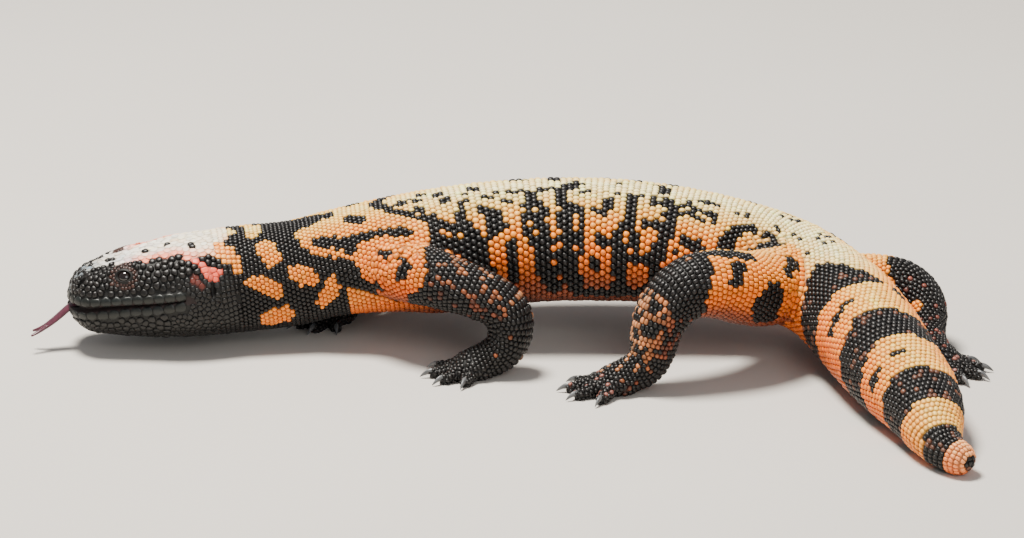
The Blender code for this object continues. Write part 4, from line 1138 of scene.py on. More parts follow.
def markings(points):
    """Colour of each bead from where it stands, whether it's dark, and that place."""
    owner, along, turn, foot = whose(points)
    u, arc = along / MM, arc_of(along, turn) / MM
    chance = RNG.random(len(points))
    dark, colour = body_markings(u, arc, chance)
    head = (owner == 0) & (u < HEAD_END / MM)
    head_dark, head_colour = head_markings(u, arc, chance)
    dark[head], colour[head] = head_dark[head], head_colour[head]
    for number, name in enumerate(LEGS, 1):
        mine = owner == number
        dark[mine], colour[mine] = leg_markings(name, along[mine] / MM, np.degrees(turn[mine]), foot[mine],
                                                chance[mine])
    hip = (owner > 0) & (along < HIP_END)
    hip_along, hip_turn, _ = body_coordinates(points[hip])
    dark[hip] |= in_strokes(*mirrored_places(hip_along / MM, arc_of(hip_along, hip_turn) / MM), HIP_MARKS)
    black = np.broadcast_to(linear(BLACK), colour.shape)
    return np.where(dark[:, None], black, colour), dark, (owner, along, turn)


# Distance between beads in millimetres: by distance from the snout, and by share of a leg's length
BODY_PITCH = [(0, 1.8), (8, 1.9), (20, 2.25), (40, 2.5), (54, 2.3), (64, 1.8), (95, 1.8), (118, 1.9),
              (134, 2.15), (148, 2.5), (215, 2.5), (240, 2.1), (285, 2.1), (322, 2.05), (380, 1.95),
              (421, 1.5)]
LEG_PITCH = [(0.15, 1.95), (0.45, 1.95), (0.7, 1.9), (1.0, 1.65)]
TOE_PITCH = 1.45 * MM
# The fine smooth scales of the jaw and throat
JAW_START, JAW_DOWN, JAW_PITCH = 36 * MM, 22 * MM, 1.75 * MM
# Near an eye: distance from its middle, and the most that beads may be apart there
EYE_PITCH = [(3.4, 0.95), (5, 1.25), (9, 2.6)]
# Distance between rows as a share of the distance between beads, on the torso and on the tail
ROW_SHARE = [(285, 0.87), (322, 1.14)]
LEG_ROW_SHARE = 0.87
# Share of a pitch that a row keeps from the middle of the underside, and the steps that find a leg's ring
ROW_MARGIN, RING_STEPS = 0.3, 60
# Where the rows start on the body and down the legs, and how far they stay from the tail's tip
ROWS_START, ROWS_END = 57 * MM, 1 * MM
LEG_ROWS_START = {"front": 17 * MM, "hind": 25 * MM}


def body_pitch(u):
    return lookup(u / MM, BODY_PITCH) * MM


def leg_pitch(share):
    return lookup(share, LEG_PITCH) * MM


def leg_length(name):
    return LEG_SAMPLES[name][0][-1]


def bead_pitch(points, owner, along, turn, foot):
    """Wanted distance between beads."""
    pitch = body_pitch(along)
    for number, name in enumerate(LEGS, 1):
        mine = owner == number
        pitch[mine] = leg_pitch(along[mine] / leg_length(name))
    pitch[foot] = TOE_PITCH
    down = arc_of(along, turn)
    jaw = (owner == 0) & (along > JAW_START) & (along < HEAD_END) & (np.abs(down) > JAW_DOWN)
    pitch[jaw] = np.minimum(pitch[jaw], JAW_PITCH)
    for side in (1, -1):
        away = np.linalg.norm(points - eye_middle(side), axis=1)
        close = away <= EYE_PITCH[-1][0] * MM
        pitch[close] = np.minimum(pitch[close], lookup(away[close] / MM, EYE_PITCH) * MM)
    return pitch


def body_rows():
    """Places in rows across the body, each row set off by half a bead from the last."""
    places = []
    u, row = ROWS_START, 0
    while u < LENGTH - ROWS_END:
        pitch = body_pitch(u)
        arcs = arc_of(np.full(len(TABLE_ANGLE), u), TABLE_ANGLE)
        count = int(arcs[-1] / pitch + 1)
        wanted = (np.arange(-count, count + 1) + 0.5 * (row % 2)) * pitch
        wanted = wanted[np.abs(wanted) < arcs[-1] - ROW_MARGIN * pitch]
        angle = np.interp(np.abs(wanted), arcs, TABLE_ANGLE) * np.sign(wanted)
        places.append(body_points(np.full(len(angle), u), angle))
        u += pitch * lookup(u / MM, ROW_SHARE)
        row += 1
    return np.concatenate(places)


def leg_rows(name):
    """Places in rings round a leg, each set off by half a bead from the last."""
    joints = LEG_JOINTS[name]
    length = leg_length(name)
    places = []
    s, row = LEG_ROWS_START[name.split("_")[0]], 0
    while s < length:
        middle, _, side, top, radii = limb_frames(joints, np.linspace(0, s, RING_STEPS))
        pitch = leg_pitch(s / length)
        count = round(2 * np.pi * radii[-1, 0] / pitch)
        angle = (np.arange(count) + 0.5 * (row % 2)) * 2 * np.pi / count
        places.append(middle[-1] + radii[-1, 0] * (np.outer(np.cos(angle), top[-1])
                                                   + np.outer(np.sin(angle), side[-1])))
        s += pitch * LEG_ROW_SHARE
        row += 1
    return np.concatenate(places)


# A corner's direction counts for more the nearer it is. This is added to its distance
CORNER_EASE = 0.1 * MM


class Surface:
    """The skin, for finding the nearest place on it and the direction out of it."""

    def __init__(self, points, faces):
        self.faces = faces
        self.normals = vertex_normals(points, faces)
        self.points = points
        self.tree = BVHTree.FromPolygons([tuple(p) for p in points], [tuple(f) for f in faces.tolist()])

    def project(self, places):
        found = [self.tree.find_nearest(Vector(place)) for place in places]
        spots = np.array([hit[0] for hit in found])
        index = np.array([hit[2] for hit in found])
        corners = self.points[self.faces[index]]
        away = np.linalg.norm(corners - spots[:, None], axis=2)
        weight = 1 / (away + CORNER_EASE)
        normals = (self.normals[self.faces[index]] * weight[:, :, None]).sum(1)
        return spots, unit(normals), np.array([hit[3] for hit in found])


def tree_of(points):
    """Tree for finding the points nearest to a place."""
    tree = KDTree(len(points))
    for i, point in enumerate(points):
        tree.insert(point, i)
    tree.balance()
    return tree


def neighbours(points, count):
    """Index of each point's nearest others."""
    tree = tree_of(points)
    return np.array([[found[1] for found in tree.find_n(point, count + 1)][1:] for point in points])


def far_from(points, kept, spacing):
    """True for each point in none of the balls round the kept ones, told by a grid of small cells."""
    cell, margin = 0.4 * MM, 4 * MM
    low = kept.min(0) - margin
    shape = np.ceil((kept.max(0) + margin - low) / cell).astype(int)
    taken = np.zeros(shape, bool)
    size = np.round(spacing / cell * 2).astype(int)
    for value in np.unique(size):
        steps = np.arange(-value, value + 1)
        steps = np.stack(np.meshgrid(steps, steps, steps, indexing="ij"), -1).reshape(-1, 3)
        steps = steps[np.linalg.norm(steps, axis=1) * 2 < value]
        cells = np.floor((kept[size == value] - low) / cell).astype(int)
        for start in range(0, len(cells), BATCH):
            filled = (cells[start : start + BATCH, None] + steps).reshape(-1, 3)
            taken[tuple(filled.T)] = True
    spot = np.floor((points - low) / cell).astype(int)
    inside = ((spot >= 0) & (spot < shape)).all(1)
    free = np.ones(len(points), bool)
    free[inside] = ~taken[tuple(spot[inside].T)]
    return free


def thinned(points, spacing, kept_first=0):
    """Mask that drops each point too close to one kept before it. The first ones are always kept."""
    cell = spacing.max()
    near = [(x, y, z) for x in (-1, 0, 1) for y in (-1, 0, 1) for z in (-1, 0, 1)]
    grid = {}
    keep = np.zeros(len(points), bool)
    keys = np.floor(points / cell).astype(int)
    for i, (point, key) in enumerate(zip(points, keys.tolist())):
        rivals = []
        for x, y, z in near:
            rivals += grid.get((key[0] + x, key[1] + y, key[2] + z), ())
        if i >= kept_first and rivals:
            gap = points[rivals] - point
            if (gap * gap).sum(1).min() < spacing[i] ** 2:
                continue
        keep[i] = True
        grid.setdefault(tuple(key), []).append(i)
    return keep


def labial_places(rise, pitch):
    """Places of the plates along one lip, from corner to corner, further from it where the mouth is wider."""
    line = mouth_line(round_the_mouth(LIP_STEP), 0, 0)
    from_corner = 1 - np.abs(np.linspace(-1, 1, len(line)))
    line[:, 2] += rise[0] + (rise[1] - rise[0]) * from_corner
    run = chord_lengths(line)
    count = round(run[-1] / pitch)
    wanted = (np.arange(count) + 0.5) * run[-1] / count
    return np.stack([np.interp(wanted, run, line[:, k]) for k in range(3)], 1)


# Rounds in which crowded beads push one another apart, how many near ones count, the share of the wanted
# distance that they keep, and the share of the way they go in a round
PUSH_ROUNDS, PUSH_COUNT, PUSH_ROOM, PUSH_SHARE = 5, 6, 0.98, 0.35


def spread_out(points, normals, pitch, fixed, skin):
    """Pushes crowded places apart along the skin."""
    for _ in range(PUSH_ROUNDS):
        near = neighbours(points, PUSH_COUNT)
        gap = points[:, None] - points[near]
        away = np.linalg.norm(gap, axis=2)
        push = np.clip(pitch[:, None] * PUSH_ROOM - away, 0, None)
        move = (gap / np.maximum(away, TINY)[..., None] * push[..., None]).sum(1) * PUSH_SHARE
        move -= normals * row_dots(move, normals)[:, None]
        move[:fixed] = 0
        points, normals, _ = skin.project(points + move)
    return points, normals


# How far the beads stay back from the rim of an opening, and how deep or high over it they may lie
OPENING_RIM, OPENING_DEPTH = 0.5 * MM, 4 * MM
# The inside of the mouth: how near its line, and how near that in height
MOUTH_NEAR, MOUTH_HALF = 4.2 * MM, 1.5 * MM


def over_hole(points, middle, axes, size):
    """Whether each point lies in an oval's rim, seen straight on, and how far it is out from its middle."""
    offset = (points - middle) @ axes.T
    rim = size[:2] + OPENING_RIM
    return np.hypot(offset[:, 0] / rim[0], offset[:, 1] / rim[1]) < 1, offset[:, 2]


def near_opening(points):
    """True where a bead would sit in an eye, an ear or a nostril."""
    inside = np.zeros(len(points), bool)
    for side in (1, -1):
        near, out = over_hole(points, eye_middle(side), eye_axes(side), ALMOND[1])
        inside |= near & (out > 0)
        for (u, degrees), size in HOLES:
            axes = frame_towards(body_outward(u, side * degrees))
            near, out = over_hole(points, body_point(u, side * degrees), axes, size)
            inside |= near & (np.abs(out) < OPENING_DEPTH)
    return inside


def in_mouth(points):
    """True between the lips, where the skin is the inside of the mouth."""
    line = mouth_line(round_the_mouth(LIP_STEP), 0, 0)
    near, away = nearest_sample(points, line, 0.0)
    return (away < MOUTH_NEAR) & (np.abs(points[:, 2] - line[near, 2]) < MOUTH_HALF)


# The plates along each lip: how far above or below the line of the mouth, at its corner and in front, and
# their length
LIP_PLATES = [((2.2 * MM, 2.9 * MM), 4.0 * MM), ((-2.2 * MM, -2.9 * MM), 4.2 * MM)]
# How far a plate reaches, the pitch that goes with it, and how far beads stay from its middle
LIP_REACH, LIP_ROOM = 2.4 * MM, 3.1 * MM
LIP_PITCH = 1.5 * LIP_REACH
# Least distance between beads as a share of the wanted one, in the rows and between them
ROW_ROOM, FILL_ROOM = 0.78, 0.84
# The most that the skin may lie off a row's place, and the random shift of a bead as a share of its pitch
ROW_REACH, JITTER = 1.6 * MM, 0.035
# A sole has no beads: the skin there faces down more than this, below this height
SOLE_DOWN, SOLE_HEIGHT = -0.9, 0.4 * MM


def place_beads(skin):
    """Places, directions and pitches of all beads, the plates of the lips first, and how many those are."""
    labials, _, _ = skin.project(np.concatenate([labial_places(*plates) for plates in LIP_PLATES]))
    rows = np.concatenate([body_rows(), *[leg_rows(name) for name in LEGS]])
    rows, _, away = skin.project(rows)
    rows = rows[away < ROW_REACH]
    rows = rows[~near_opening(rows)]
    lip_room = np.full(len(labials), LIP_ROOM)
    rows = rows[far_from(rows, labials, lip_room)]
    row_pitch = bead_pitch(rows, *whose(rows))
    fill = skin.points[RNG.permutation(len(skin.points))]
    fill = fill[far_from(fill, labials, lip_room)]
    fill = fill[far_from(fill, rows, row_pitch * FILL_ROOM)]
    fill = fill[~near_opening(fill)]
    pitch = np.concatenate([np.full(len(labials), LIP_PITCH), row_pitch, bead_pitch(fill, *whose(fill))])
    room = pitch * np.where(np.arange(len(pitch)) < len(labials) + len(rows), ROW_ROOM, FILL_ROOM)
    spots, normals, _ = skin.project(np.concatenate([labials, rows, fill]))
    allowed = ~in_mouth(spots) & ((normals[:, 2] > SOLE_DOWN) | (spots[:, 2] > SOLE_HEIGHT))
    allowed[: len(labials)] = True
    index = np.flatnonzero(allowed)
    keep = index[thinned(spots[index], room[index], len(labials))]
    spots, normals = spread_out(spots[keep], normals[keep], pitch[keep], len(labials), skin)
    shake = RNG.normal(0, JITTER, spots.shape) * pitch[keep, None]
    shake[: len(labials)] = 0
    return spots + shake, normals, pitch[keep], len(labials)


# Share of the outline and of the height at the rings of a round bead and of a flat plate
DOME = np.array([(0.96, 0.28), (0.80, 0.68), (0.46, 0.93)])
PLATE = np.array([(0.97, 0.45), (0.89, 0.82), (0.56, 0.97)])
# A bead's foot is sunk this deep into the skin
FOOT_SHARE, FOOT_DEPTH = 0.98, 0.25 * MM
# Painted shade on a bead from its foot up to its top, dark round its foot with a painted highlight on its
# top, where the gaps round it are dark and where they are light
PAINTED_SHADE_DEEP = np.array([0.35, 0.5, 0.9, 1.0, 1.05])
PAINTED_SHADE_SOFT = np.array([0.78, 0.86, 0.97, 1.0, 1.02])
# Painted shade on the skin between the beads, where the gaps are dark and where they are light; partly the
# skin is also darker in itself
SKIN_PAINTED_SHADE = 0.3, 0.72
# How light the painted shade in the gaps between pale beads is, and on the flank, from 0 for dark to 1 for
# light
PALE_GAP_PAINTED_LIGHT, FLANK_GAP_PAINTED_LIGHT = 0.45, 0.15
# How much stronger a bead's colour gets in the painted shade of a gap
PAINTED_SHADE_WARMTH = 0.55


def bead_mesh(points, normals, along, other, outline, turn, height, flat):
    """Joined mesh of beads with these outlines and heights. Flat is 0 for a dome and 1 for a plate."""
    count, sides = outline.shape
    directions = along[:, None] * np.cos(turn)[None, :, None] + other[:, None] * np.sin(turn)[None, :, None]
    directions *= outline[..., None]
    profile = DOME + (PLATE - DOME) * flat[:, None, None]
    rings = [points[:, None] + directions * FOOT_SHARE - (normals * FOOT_DEPTH)[:, None]]
    for ring in range(len(DOME)):
        share, lift = profile[:, ring, 0], profile[:, ring, 1] * height
        rings.append(points[:, None] + directions * share[:, None, None] + (normals * lift[:, None])[:, None])
    tops = points + normals * height[:, None]
    vertices = np.concatenate([*rings, tops[:, None]], 1)
    each = len(rings) * sides + 1
    j = np.arange(sides)
    k = (j + 1) % sides
    faces = []
    for ring in range(len(rings) - 1):
        low, high = ring * sides, (ring + 1) * sides
        faces.append(np.stack([low + j, low + k, high + k], 1))
        faces.append(np.stack([low + j, high + k, high + j], 1))
    last = (len(rings) - 1) * sides
    faces.append(np.stack([last + j, last + k, np.full(sides, each - 1)], 1))
    one = np.concatenate(faces)
    return vertices, (one[None] + (np.arange(count) * each)[:, None, None]).reshape(-1, 3)


def draped(vertices, points, normals, skin):
    """Plates bent over the skin, each vertex as high over it as it was over its plate's own plane."""
    height = np.einsum("ijk,ik->ij", vertices - points[:, None], normals)
    level = vertices - normals[:, None] * height[..., None]
    spots, outward, _ = skin.project(level.reshape(-1, 3))
    return (spots + outward * height.reshape(-1, 1)).reshape(vertices.shape)


def tangent_along(normals, owner, along):
    """Direction down the body or leg, in the plane of the skin."""
    _, left, up, _ = body_frame(along)
    direction = np.cross(up, left)
    for number, name in enumerate(LEGS, 1):
        mine = owner == number
        at, _, ahead, _, _, _ = LEG_SAMPLES[name]
        index = np.clip((along[mine] / LEG_STEP).astype(int), 0, len(at) - 1)
        direction[mine] = ahead[index]
    direction -= normals * row_dots(direction, normals)[:, None]
    return unit(direction)


# Flat layout of the beads: height of the body's part, then step, width, start and height of the legs' parts
ATLAS_BODY, ATLAS_STEP, ATLAS_WIDTH, ATLAS_LEGS, ATLAS_HEIGHT = 0.48, 0.25, 0.235, 0.51, 0.47
# Share of a leg's part where its length ends and where its foot starts, and a foot's reach from its palm
ATLAS_WRIST, ATLAS_FOOT, FOOT_REACH = 0.7, 0.72, 24 * MM
# A bead this near the end of a leg's length is laid out by its place on the foot
FOOT_NEAR = 0.6 * MM
# Shrinks the layout and moves it in from the edge. Then half the size of one bead in it
ATLAS_SHRINK, ATLAS_EDGE, ATLAS_BEAD = 0.985, 0.005, 0.0015


def atlas_place(owner, along, turn, points):
    """Place of each bead on a flat layout: the body below, a strip for each leg above."""
    x = along / LENGTH
    y = (turn / (2 * np.pi) + 0.5) * ATLAS_BODY
    for number, name in enumerate(LEGS, 1):
        mine = owner == number
        palm = LEG_JOINTS[name][-1, :3]
        beyond = np.linalg.norm((points[mine] - palm) * (1, 1, 0), axis=1) / FOOT_REACH
        length = leg_length(name)
        at_end = along[mine] >= length - FOOT_NEAR
        on_foot = ATLAS_FOOT + (1 - ATLAS_FOOT) * np.clip(beyond, 0, 1)
        x[mine] = ATLAS_STEP * (number - 1) + ATLAS_WIDTH * np.where(at_end, on_foot,
                                                                     along[mine] / length * ATLAS_WRIST)
        around = np.where(at_end, np.arctan2(*(points[mine] - palm)[:, 1::-1].T), turn[mine])
        y[mine] = ATLAS_LEGS + ATLAS_HEIGHT * (around / (2 * np.pi) + 0.5)
    return np.stack([x * ATLAS_SHRINK + ATLAS_EDGE, y + ATLAS_EDGE], 1)


def set_colours(mesh, colours):
    layer = mesh.color_attributes.new("Hide", "FLOAT_COLOR", "POINT")
    rgba = np.ones((len(colours), 4), np.float32)
    rgba[:, :3] = colours
    layer.data.foreach_set("color", rgba.ravel())


def set_patches(mesh, places, sides, rings):
    """OFBake map: each bead a small disc at its own place."""
    turn = np.arange(sides) * 2 * np.pi / sides
    circle = np.stack([np.cos(turn), np.sin(turn)], 1) * ATLAS_BEAD
    offsets = [circle * (1 - r / (rings + 0.5)) for r in range(rings)]
    offsets = np.concatenate([*offsets, np.zeros((1, 2))])
    uv = (places[:, None] + offsets[None]).reshape(-1, 2)
    loops = np.empty(len(mesh.loops), np.int32)
    mesh.loops.foreach_get("vertex_index", loops)
    layer = mesh.uv_layers.new(name="OFBake")
    layer.data.foreach_set("uv", np.asarray(uv[loops], np.float32).ravel())


# Least share of the way to a neighbour that its direction counts with, and the width of the gap between beads
LEAST_TURN, GAP_SHARE = 0.05, 0.985


def outlines_of(mine, points, normals, direction, near, reach, sides):
    """Outlines of some of the beads, each cut off halfway to its neighbours."""
    other = np.cross(normals[mine], direction[mine])
    gap = points[near[mine]] - points[mine][:, None]
    x = np.einsum("nkj,nj->nk", gap, direction[mine])
    y = np.einsum("nkj,nj->nk", gap, other)
    far = np.hypot(x, y)
    turn = np.arange(sides) * 2 * np.pi / sides
    across = (x[:, :, None] * np.cos(turn) + y[:, :, None] * np.sin(turn)) / np.maximum(far, TINY)[..., None]
    limit = far[..., None] / 2 / np.maximum(across, LEAST_TURN)
    return np.minimum(limit.min(1) * GAP_SHARE, reach[mine][:, None]), turn, other


# Share of its pitch that a bead stands up, and how flat it is, by what it is
HEIGHTS = {"bead": (0.42, 0.0), "belly": (0.22, 0.7), "crown": (0.15, 0.9), "cheek": (0.38, 0.15)}
# Share of its pitch that a bead reaches out
HEAD_REACH, BODY_REACH, LEG_REACH, TAIL_REACH = 0.64, 0.58, 0.68, 0.66
# Height of the plates of the lips, and how light the painted shade in the gaps round them is
LIP_HEIGHT, LIP_GAP_PAINTED_LIGHT = 0.3 * MM, 0.4
# Random spread from bead to bead
LIGHT_SPREAD, WARM_SPREAD, HEIGHT_SPREAD, REACH_SPREAD, TILT_SPREAD = 0.09, 0.05, 0.07, 0.05, 0.05
TINT_LIMITS = 0.6, 1.4
# How far the brown of the lids reaches from the eye's middle, and the angle where the underside starts
LID_REACH, UNDER_ANGLE = 5.6 * MM, np.radians(125)
# Stretch of the body where the painted shade in the gaps between pale beads is dark, and start of the tail's
# wider beads
FLANK_START, FLANK_END, TAIL_BEADS_START = 140 * MM, 232 * MM, 300 * MM
# Where the crown's plates start to turn into beads, over what length, and how much darker the painted shade
# in the gaps gets
CROWN_END, CROWN_FADE, CROWN_GAP_PAINTED_SHADE = 52, 16, 0.5
# Number of neighbours that shape a bead, and its sides on the head and elsewhere
BEAD_NEIGHBOURS, HEAD_BEAD_SIDES, BEAD_SIDES = 8, 12, 9
BEAD_LIFT = 0.02 * MM
# Where each piece of the coat ends, in millimetres from the snout
COAT_PARTS = [("head", 62), ("neck", 98), ("chest", 166), ("belly", 236), ("hips", 296), ("tail", 1000)]


def tinted(points, colours, head, jaw):
    """Colours of the beads with the jaw's black darkened further as painted shade and the brown lids, each
    varied a little.
    """
    # Painted shade: the jaw's beads are made blacker than the rest
    colours[jaw] = linear(SHADED_JAW_BLACK)
    eye_away = np.minimum(*[np.linalg.norm(points - eye_middle(side), axis=1) for side in (1, -1)])
    colours[head & (eye_away < LID_REACH)] = linear(LID_BROWN)
    lightness = 1 + LIGHT_SPREAD * RNG.standard_normal(len(points))
    warmth = WARM_SPREAD * RNG.standard_normal(len(points))
    tint = np.stack([lightness + warmth, lightness, lightness - warmth], 1)
    return np.clip(colours * np.clip(tint, *TINT_LIMITS), 0, 1)


def parts_of(owner, along):
    """Name of the piece of the coat that each bead belongs to."""
    part = np.full(len(owner), "", dtype=object)
    for name, end in reversed(COAT_PARTS):
        part[along < end * MM] = name
    for number, name in enumerate(LEGS, 1):
        part[owner == number] = name
    return part


def make_coat(skin, finish):
    """All beads and plates, in pieces by part of the animal, and the colour of the skin under them with
    painted shade.
    """
    points, normals, pitch, labials = place_beads(skin)
    colours, dark, (owner, along, turn) = markings(points)
    colours[:labials] = linear(LIP_GREEN)
    dark[:labials] = True
    body = owner == 0
    head = body & (along < HEAD_END)
    crown = head & ~dark
    jaw = head & dark & (np.abs(arc_of(along, turn)) > JAW_DOWN)
    colours = tinted(points, colours, head, jaw & (np.arange(len(points)) >= labials))

    beaded = np.clip((along / MM - CROWN_END) / CROWN_FADE, 0, 1) * body
    shape = np.full((len(points), 2), HEIGHTS["bead"])
    shape[head] = HEIGHTS["cheek"]
    shape[crown] = HEIGHTS["crown"]
    shape[jaw | (body & (np.abs(turn) > UNDER_ANGLE))] = HEIGHTS["belly"]
    blended = shape * (1 - beaded[:, None]) + np.array(HEIGHTS["bead"]) * beaded[:, None]
    shape = np.where(crown[:, None], blended, shape)
    height = shape[:, 0] * pitch * (1 + HEIGHT_SPREAD * RNG.standard_normal(len(points)))
    height[:labials], shape[:labials, 1] = LIP_HEIGHT, 1

    # How light the painted shade round each bead and on the skin under it is, from 0 for dark to 1 for light
    light = np.where(dark, 0, PALE_GAP_PAINTED_LIGHT)
    light[body & ~dark & (along > FLANK_START) & (along < FLANK_END)] = FLANK_GAP_PAINTED_LIGHT
    light[~body & (along > SHIN_START)] = 0
    light = np.where(crown, 1 - CROWN_GAP_PAINTED_SHADE * beaded, light)
    light[:labials] = LIP_GAP_PAINTED_LIGHT

    varied = 1 + REACH_SPREAD * RNG.standard_normal(len(points))
    reach = pitch * np.where(head, HEAD_REACH, BODY_REACH) * varied
    reach = np.where(body, reach, pitch * LEG_REACH)
    reach = np.where(body & (along > TAIL_BEADS_START), pitch * TAIL_REACH, reach)
    reach[:labials] = LIP_REACH
    tilted = unit(normals + TILT_SPREAD * RNG.standard_normal(normals.shape))
    near = neighbours(points, BEAD_NEIGHBOURS)
    direction = tangent_along(tilted, owner, along)
    atlas = atlas_place(owner, along, turn, points)
    part = parts_of(owner, along)
    for name in sorted(set(part)):
        mine = np.flatnonzero(part == name)
        sides = HEAD_BEAD_SIDES if name == "head" else BEAD_SIDES
        outline, angles, other = outlines_of(mine, points, tilted, direction, near, reach, sides)
        vertices, faces = bead_mesh(points[mine], tilted[mine], direction[mine], other, outline, angles,
                                    height[mine], shape[mine, 1])
        lip = mine < labials
        if lip.any():
            vertices[lip] = draped(vertices[lip], points[mine[lip]], tilted[mine[lip]], skin)
        flat = vertices.reshape(-1, 3)
        flat[:, 2] = np.maximum(flat[:, 2], BEAD_LIFT)
        coat = new_object("coat_" + name, flat + SHIFT, faces, finish)
        # Painted shade darkens each bead towards its foot, and a painted highlight brightens its top
        shade = PAINTED_SHADE_DEEP + (PAINTED_SHADE_SOFT - PAINTED_SHADE_DEEP) * light[mine, None]
        shade = np.concatenate([np.repeat(shade[:, :-1], sides, axis=1), shade[:, -1:]], 1)
        deepened = colours[mine, None] ** (1 + PAINTED_SHADE_WARMTH * np.clip(1 - shade, 0, 1)[..., None])
        set_colours(coat.data, (deepened * shade[..., None]).reshape(-1, 3))
        set_patches(coat.data, atlas[mine], sides, len(DOME) + 1)
        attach(coat, "root")
    # The skin under the beads takes their colour darkened partly by painted shade
    return points, colours * (SKIN_PAINTED_SHADE[0] + (SKIN_PAINTED_SHADE[1] - SKIN_PAINTED_SHADE[0]) * light)[:, None]


# Scale and detail of the noise that mottles the hide and of the one that wears it, and what the second adds
HIDE_NOISE, WEAR_NOISE, WEAR = (900.0, 3.0), (260.0, 3.0), (-0.08, 0.14)
HIDE_BUMP, TONGUE_BUMP, BUMP_STRENGTH = 0.12 * MM, 0.15 * MM, 0.6
HIDE_SPECULAR = 0.4


def shader_of(name, roughness, **inputs):
    made = bpy.data.materials.new(name)
    made.use_nodes = True
    shader = made.node_tree.nodes["Principled BSDF"]
    shader.inputs["Roughness"].default_value = roughness
    for key, value in inputs.items():
        shader.inputs[key.replace("_", " ")].default_value = value
    return made, made.node_tree, shader


def noise_node(tree, scale, detail):
    place = tree.nodes.new("ShaderNodeTexCoord")
    noise = tree.nodes.new("ShaderNodeTexNoise")
    noise.inputs["Scale"].default_value = scale
    noise.inputs["Detail"].default_value = detail
    tree.links.new(place.outputs["Object"], noise.inputs["Vector"])
    return noise


def mottled(tree, colour_socket, noise, low, high):
    """The colour times a noise between two strengths."""
    spread = tree.nodes.new("ShaderNodeMapRange")
    spread.inputs["To Min"].default_value = low
    spread.inputs["To Max"].default_value = high
    tree.links.new(noise.outputs["Fac"], spread.inputs["Value"])
    times = tree.nodes.new("ShaderNodeVectorMath")
    times.operation = "SCALE"
    tree.links.new(colour_socket, times.inputs[0])
    tree.links.new(spread.outputs["Result"], times.inputs["Scale"])
    return times.outputs["Vector"]


def bump_from(tree, shader, noise, distance):
    bump = tree.nodes.new("ShaderNodeBump")
    bump.inputs["Distance"].default_value = distance
    bump.inputs["Strength"].default_value = BUMP_STRENGTH
    tree.links.new(noise.outputs["Fac"], bump.inputs["Height"])
    tree.links.new(bump.outputs["Normal"], shader.inputs["Normal"])


def hide_material(name, roughness, low, high):
    made, tree, shader = shader_of(name, roughness, Specular_IOR_Level=HIDE_SPECULAR)
    attribute = tree.nodes.new("ShaderNodeAttribute")
    attribute.attribute_name = "Hide"
    fine = noise_node(tree, *HIDE_NOISE)
    tree.links.new(mottled(tree, attribute.outputs["Color"], fine, low, high), shader.inputs["Base Color"])
    worn = tree.nodes.new("ShaderNodeMapRange")
    worn.inputs["To Min"].default_value = roughness + WEAR[0]
    worn.inputs["To Max"].default_value = roughness + WEAR[1]
    tree.links.new(noise_node(tree, *WEAR_NOISE).outputs["Fac"], worn.inputs["Value"])
    tree.links.new(worn.outputs["Result"], shader.inputs["Roughness"])
    bump_from(tree, shader, fine, HIDE_BUMP)
    return made


# Dark and pale tone of each mottled material, and the scale and detail of its noise
TONES = {
    "claw": ((42, 43, 46), (120, 121, 122), 420.0, 5.0),
    "tongue": ((44, 22, 30), (98, 46, 62), 700.0, 4.0),
    "eye": ((8, 6, 5), (28, 17, 12), 1500.0, 5.0),
    "floor": ((196, 190, 183), (208, 203, 196), 3.0, 3.0),
}


def toned_material(name, roughness, bump=0, **inputs):
    """Material whose colour runs between two tones."""
    made, tree, shader = shader_of(name, roughness, **inputs)
    dark, pale, scale, detail = TONES[name]
    blend = tree.nodes.new("ShaderNodeValToRGB")
    blend.color_ramp.elements[0].color = (*linear(dark), 1)
    blend.color_ramp.elements[1].color = (*linear(pale), 1)
    noise = noise_node(tree, scale, detail)
    tree.links.new(noise.outputs["Fac"], blend.inputs["Fac"])
    tree.links.new(blend.outputs["Color"], shader.inputs["Base Color"])
    if bump:
        bump_from(tree, shader, noise, bump)
    return made


def make_eyes(finish):
    for side, name in ((1, "eye_left"), (-1, "eye_right")):
        points, faces = eye_part(side, *EYEBALL)
        eye = new_object("ball_" + name, points + SHIFT, faces, finish)
        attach(eye, "root")
        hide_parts(name)


def make_claws(name, finish):
    """Curved horn claws of one foot, each from its toe's end."""
    meshes = []
    for ahead, toe in toe_lines(name, LEGS[name]):
        base = toe[-1, :3] - ahead * CLAW_ROOT
        joints = []
        for share, rise, radius in CLAW_SHAPE:
            place = base + ahead * (CLAW_LENGTH + CLAW_ROOT) * share
            place[2] = max(base[2] + rise * CLAW_LENGTH, radius * CLAW_RADIUS + CLAW_CLEAR)
            joints.append((*place, radius * CLAW_RADIUS * CLAW_NARROW, radius * CLAW_RADIUS))
        meshes.append(limb_tube(np.array(joints), *CLAW_MESH))
    points, faces = merge_meshes(meshes)
    claws = new_object("claws_" + name, points + SHIFT, faces, finish)
    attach(claws, "root")
    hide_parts(*[f"{name}_claw_{number}" for number in range(1, 6)])


def make_tongue(finish):
    tines = []
    for side in (-1, 1):
        tine = np.array(TONGUE_FORK, float) * MM
        tine[:, 1] += side * FORK_SPREAD
        tines.append(limb_tube(tine, *TINE_MESH))
    points, faces = boolean(*tongue_mesh(0, *TONGUE_MESH), "UNION", tines)
    tongue = new_object("forked_tongue", points + SHIFT, faces, finish)
    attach(tongue, "root")
    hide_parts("tongue")


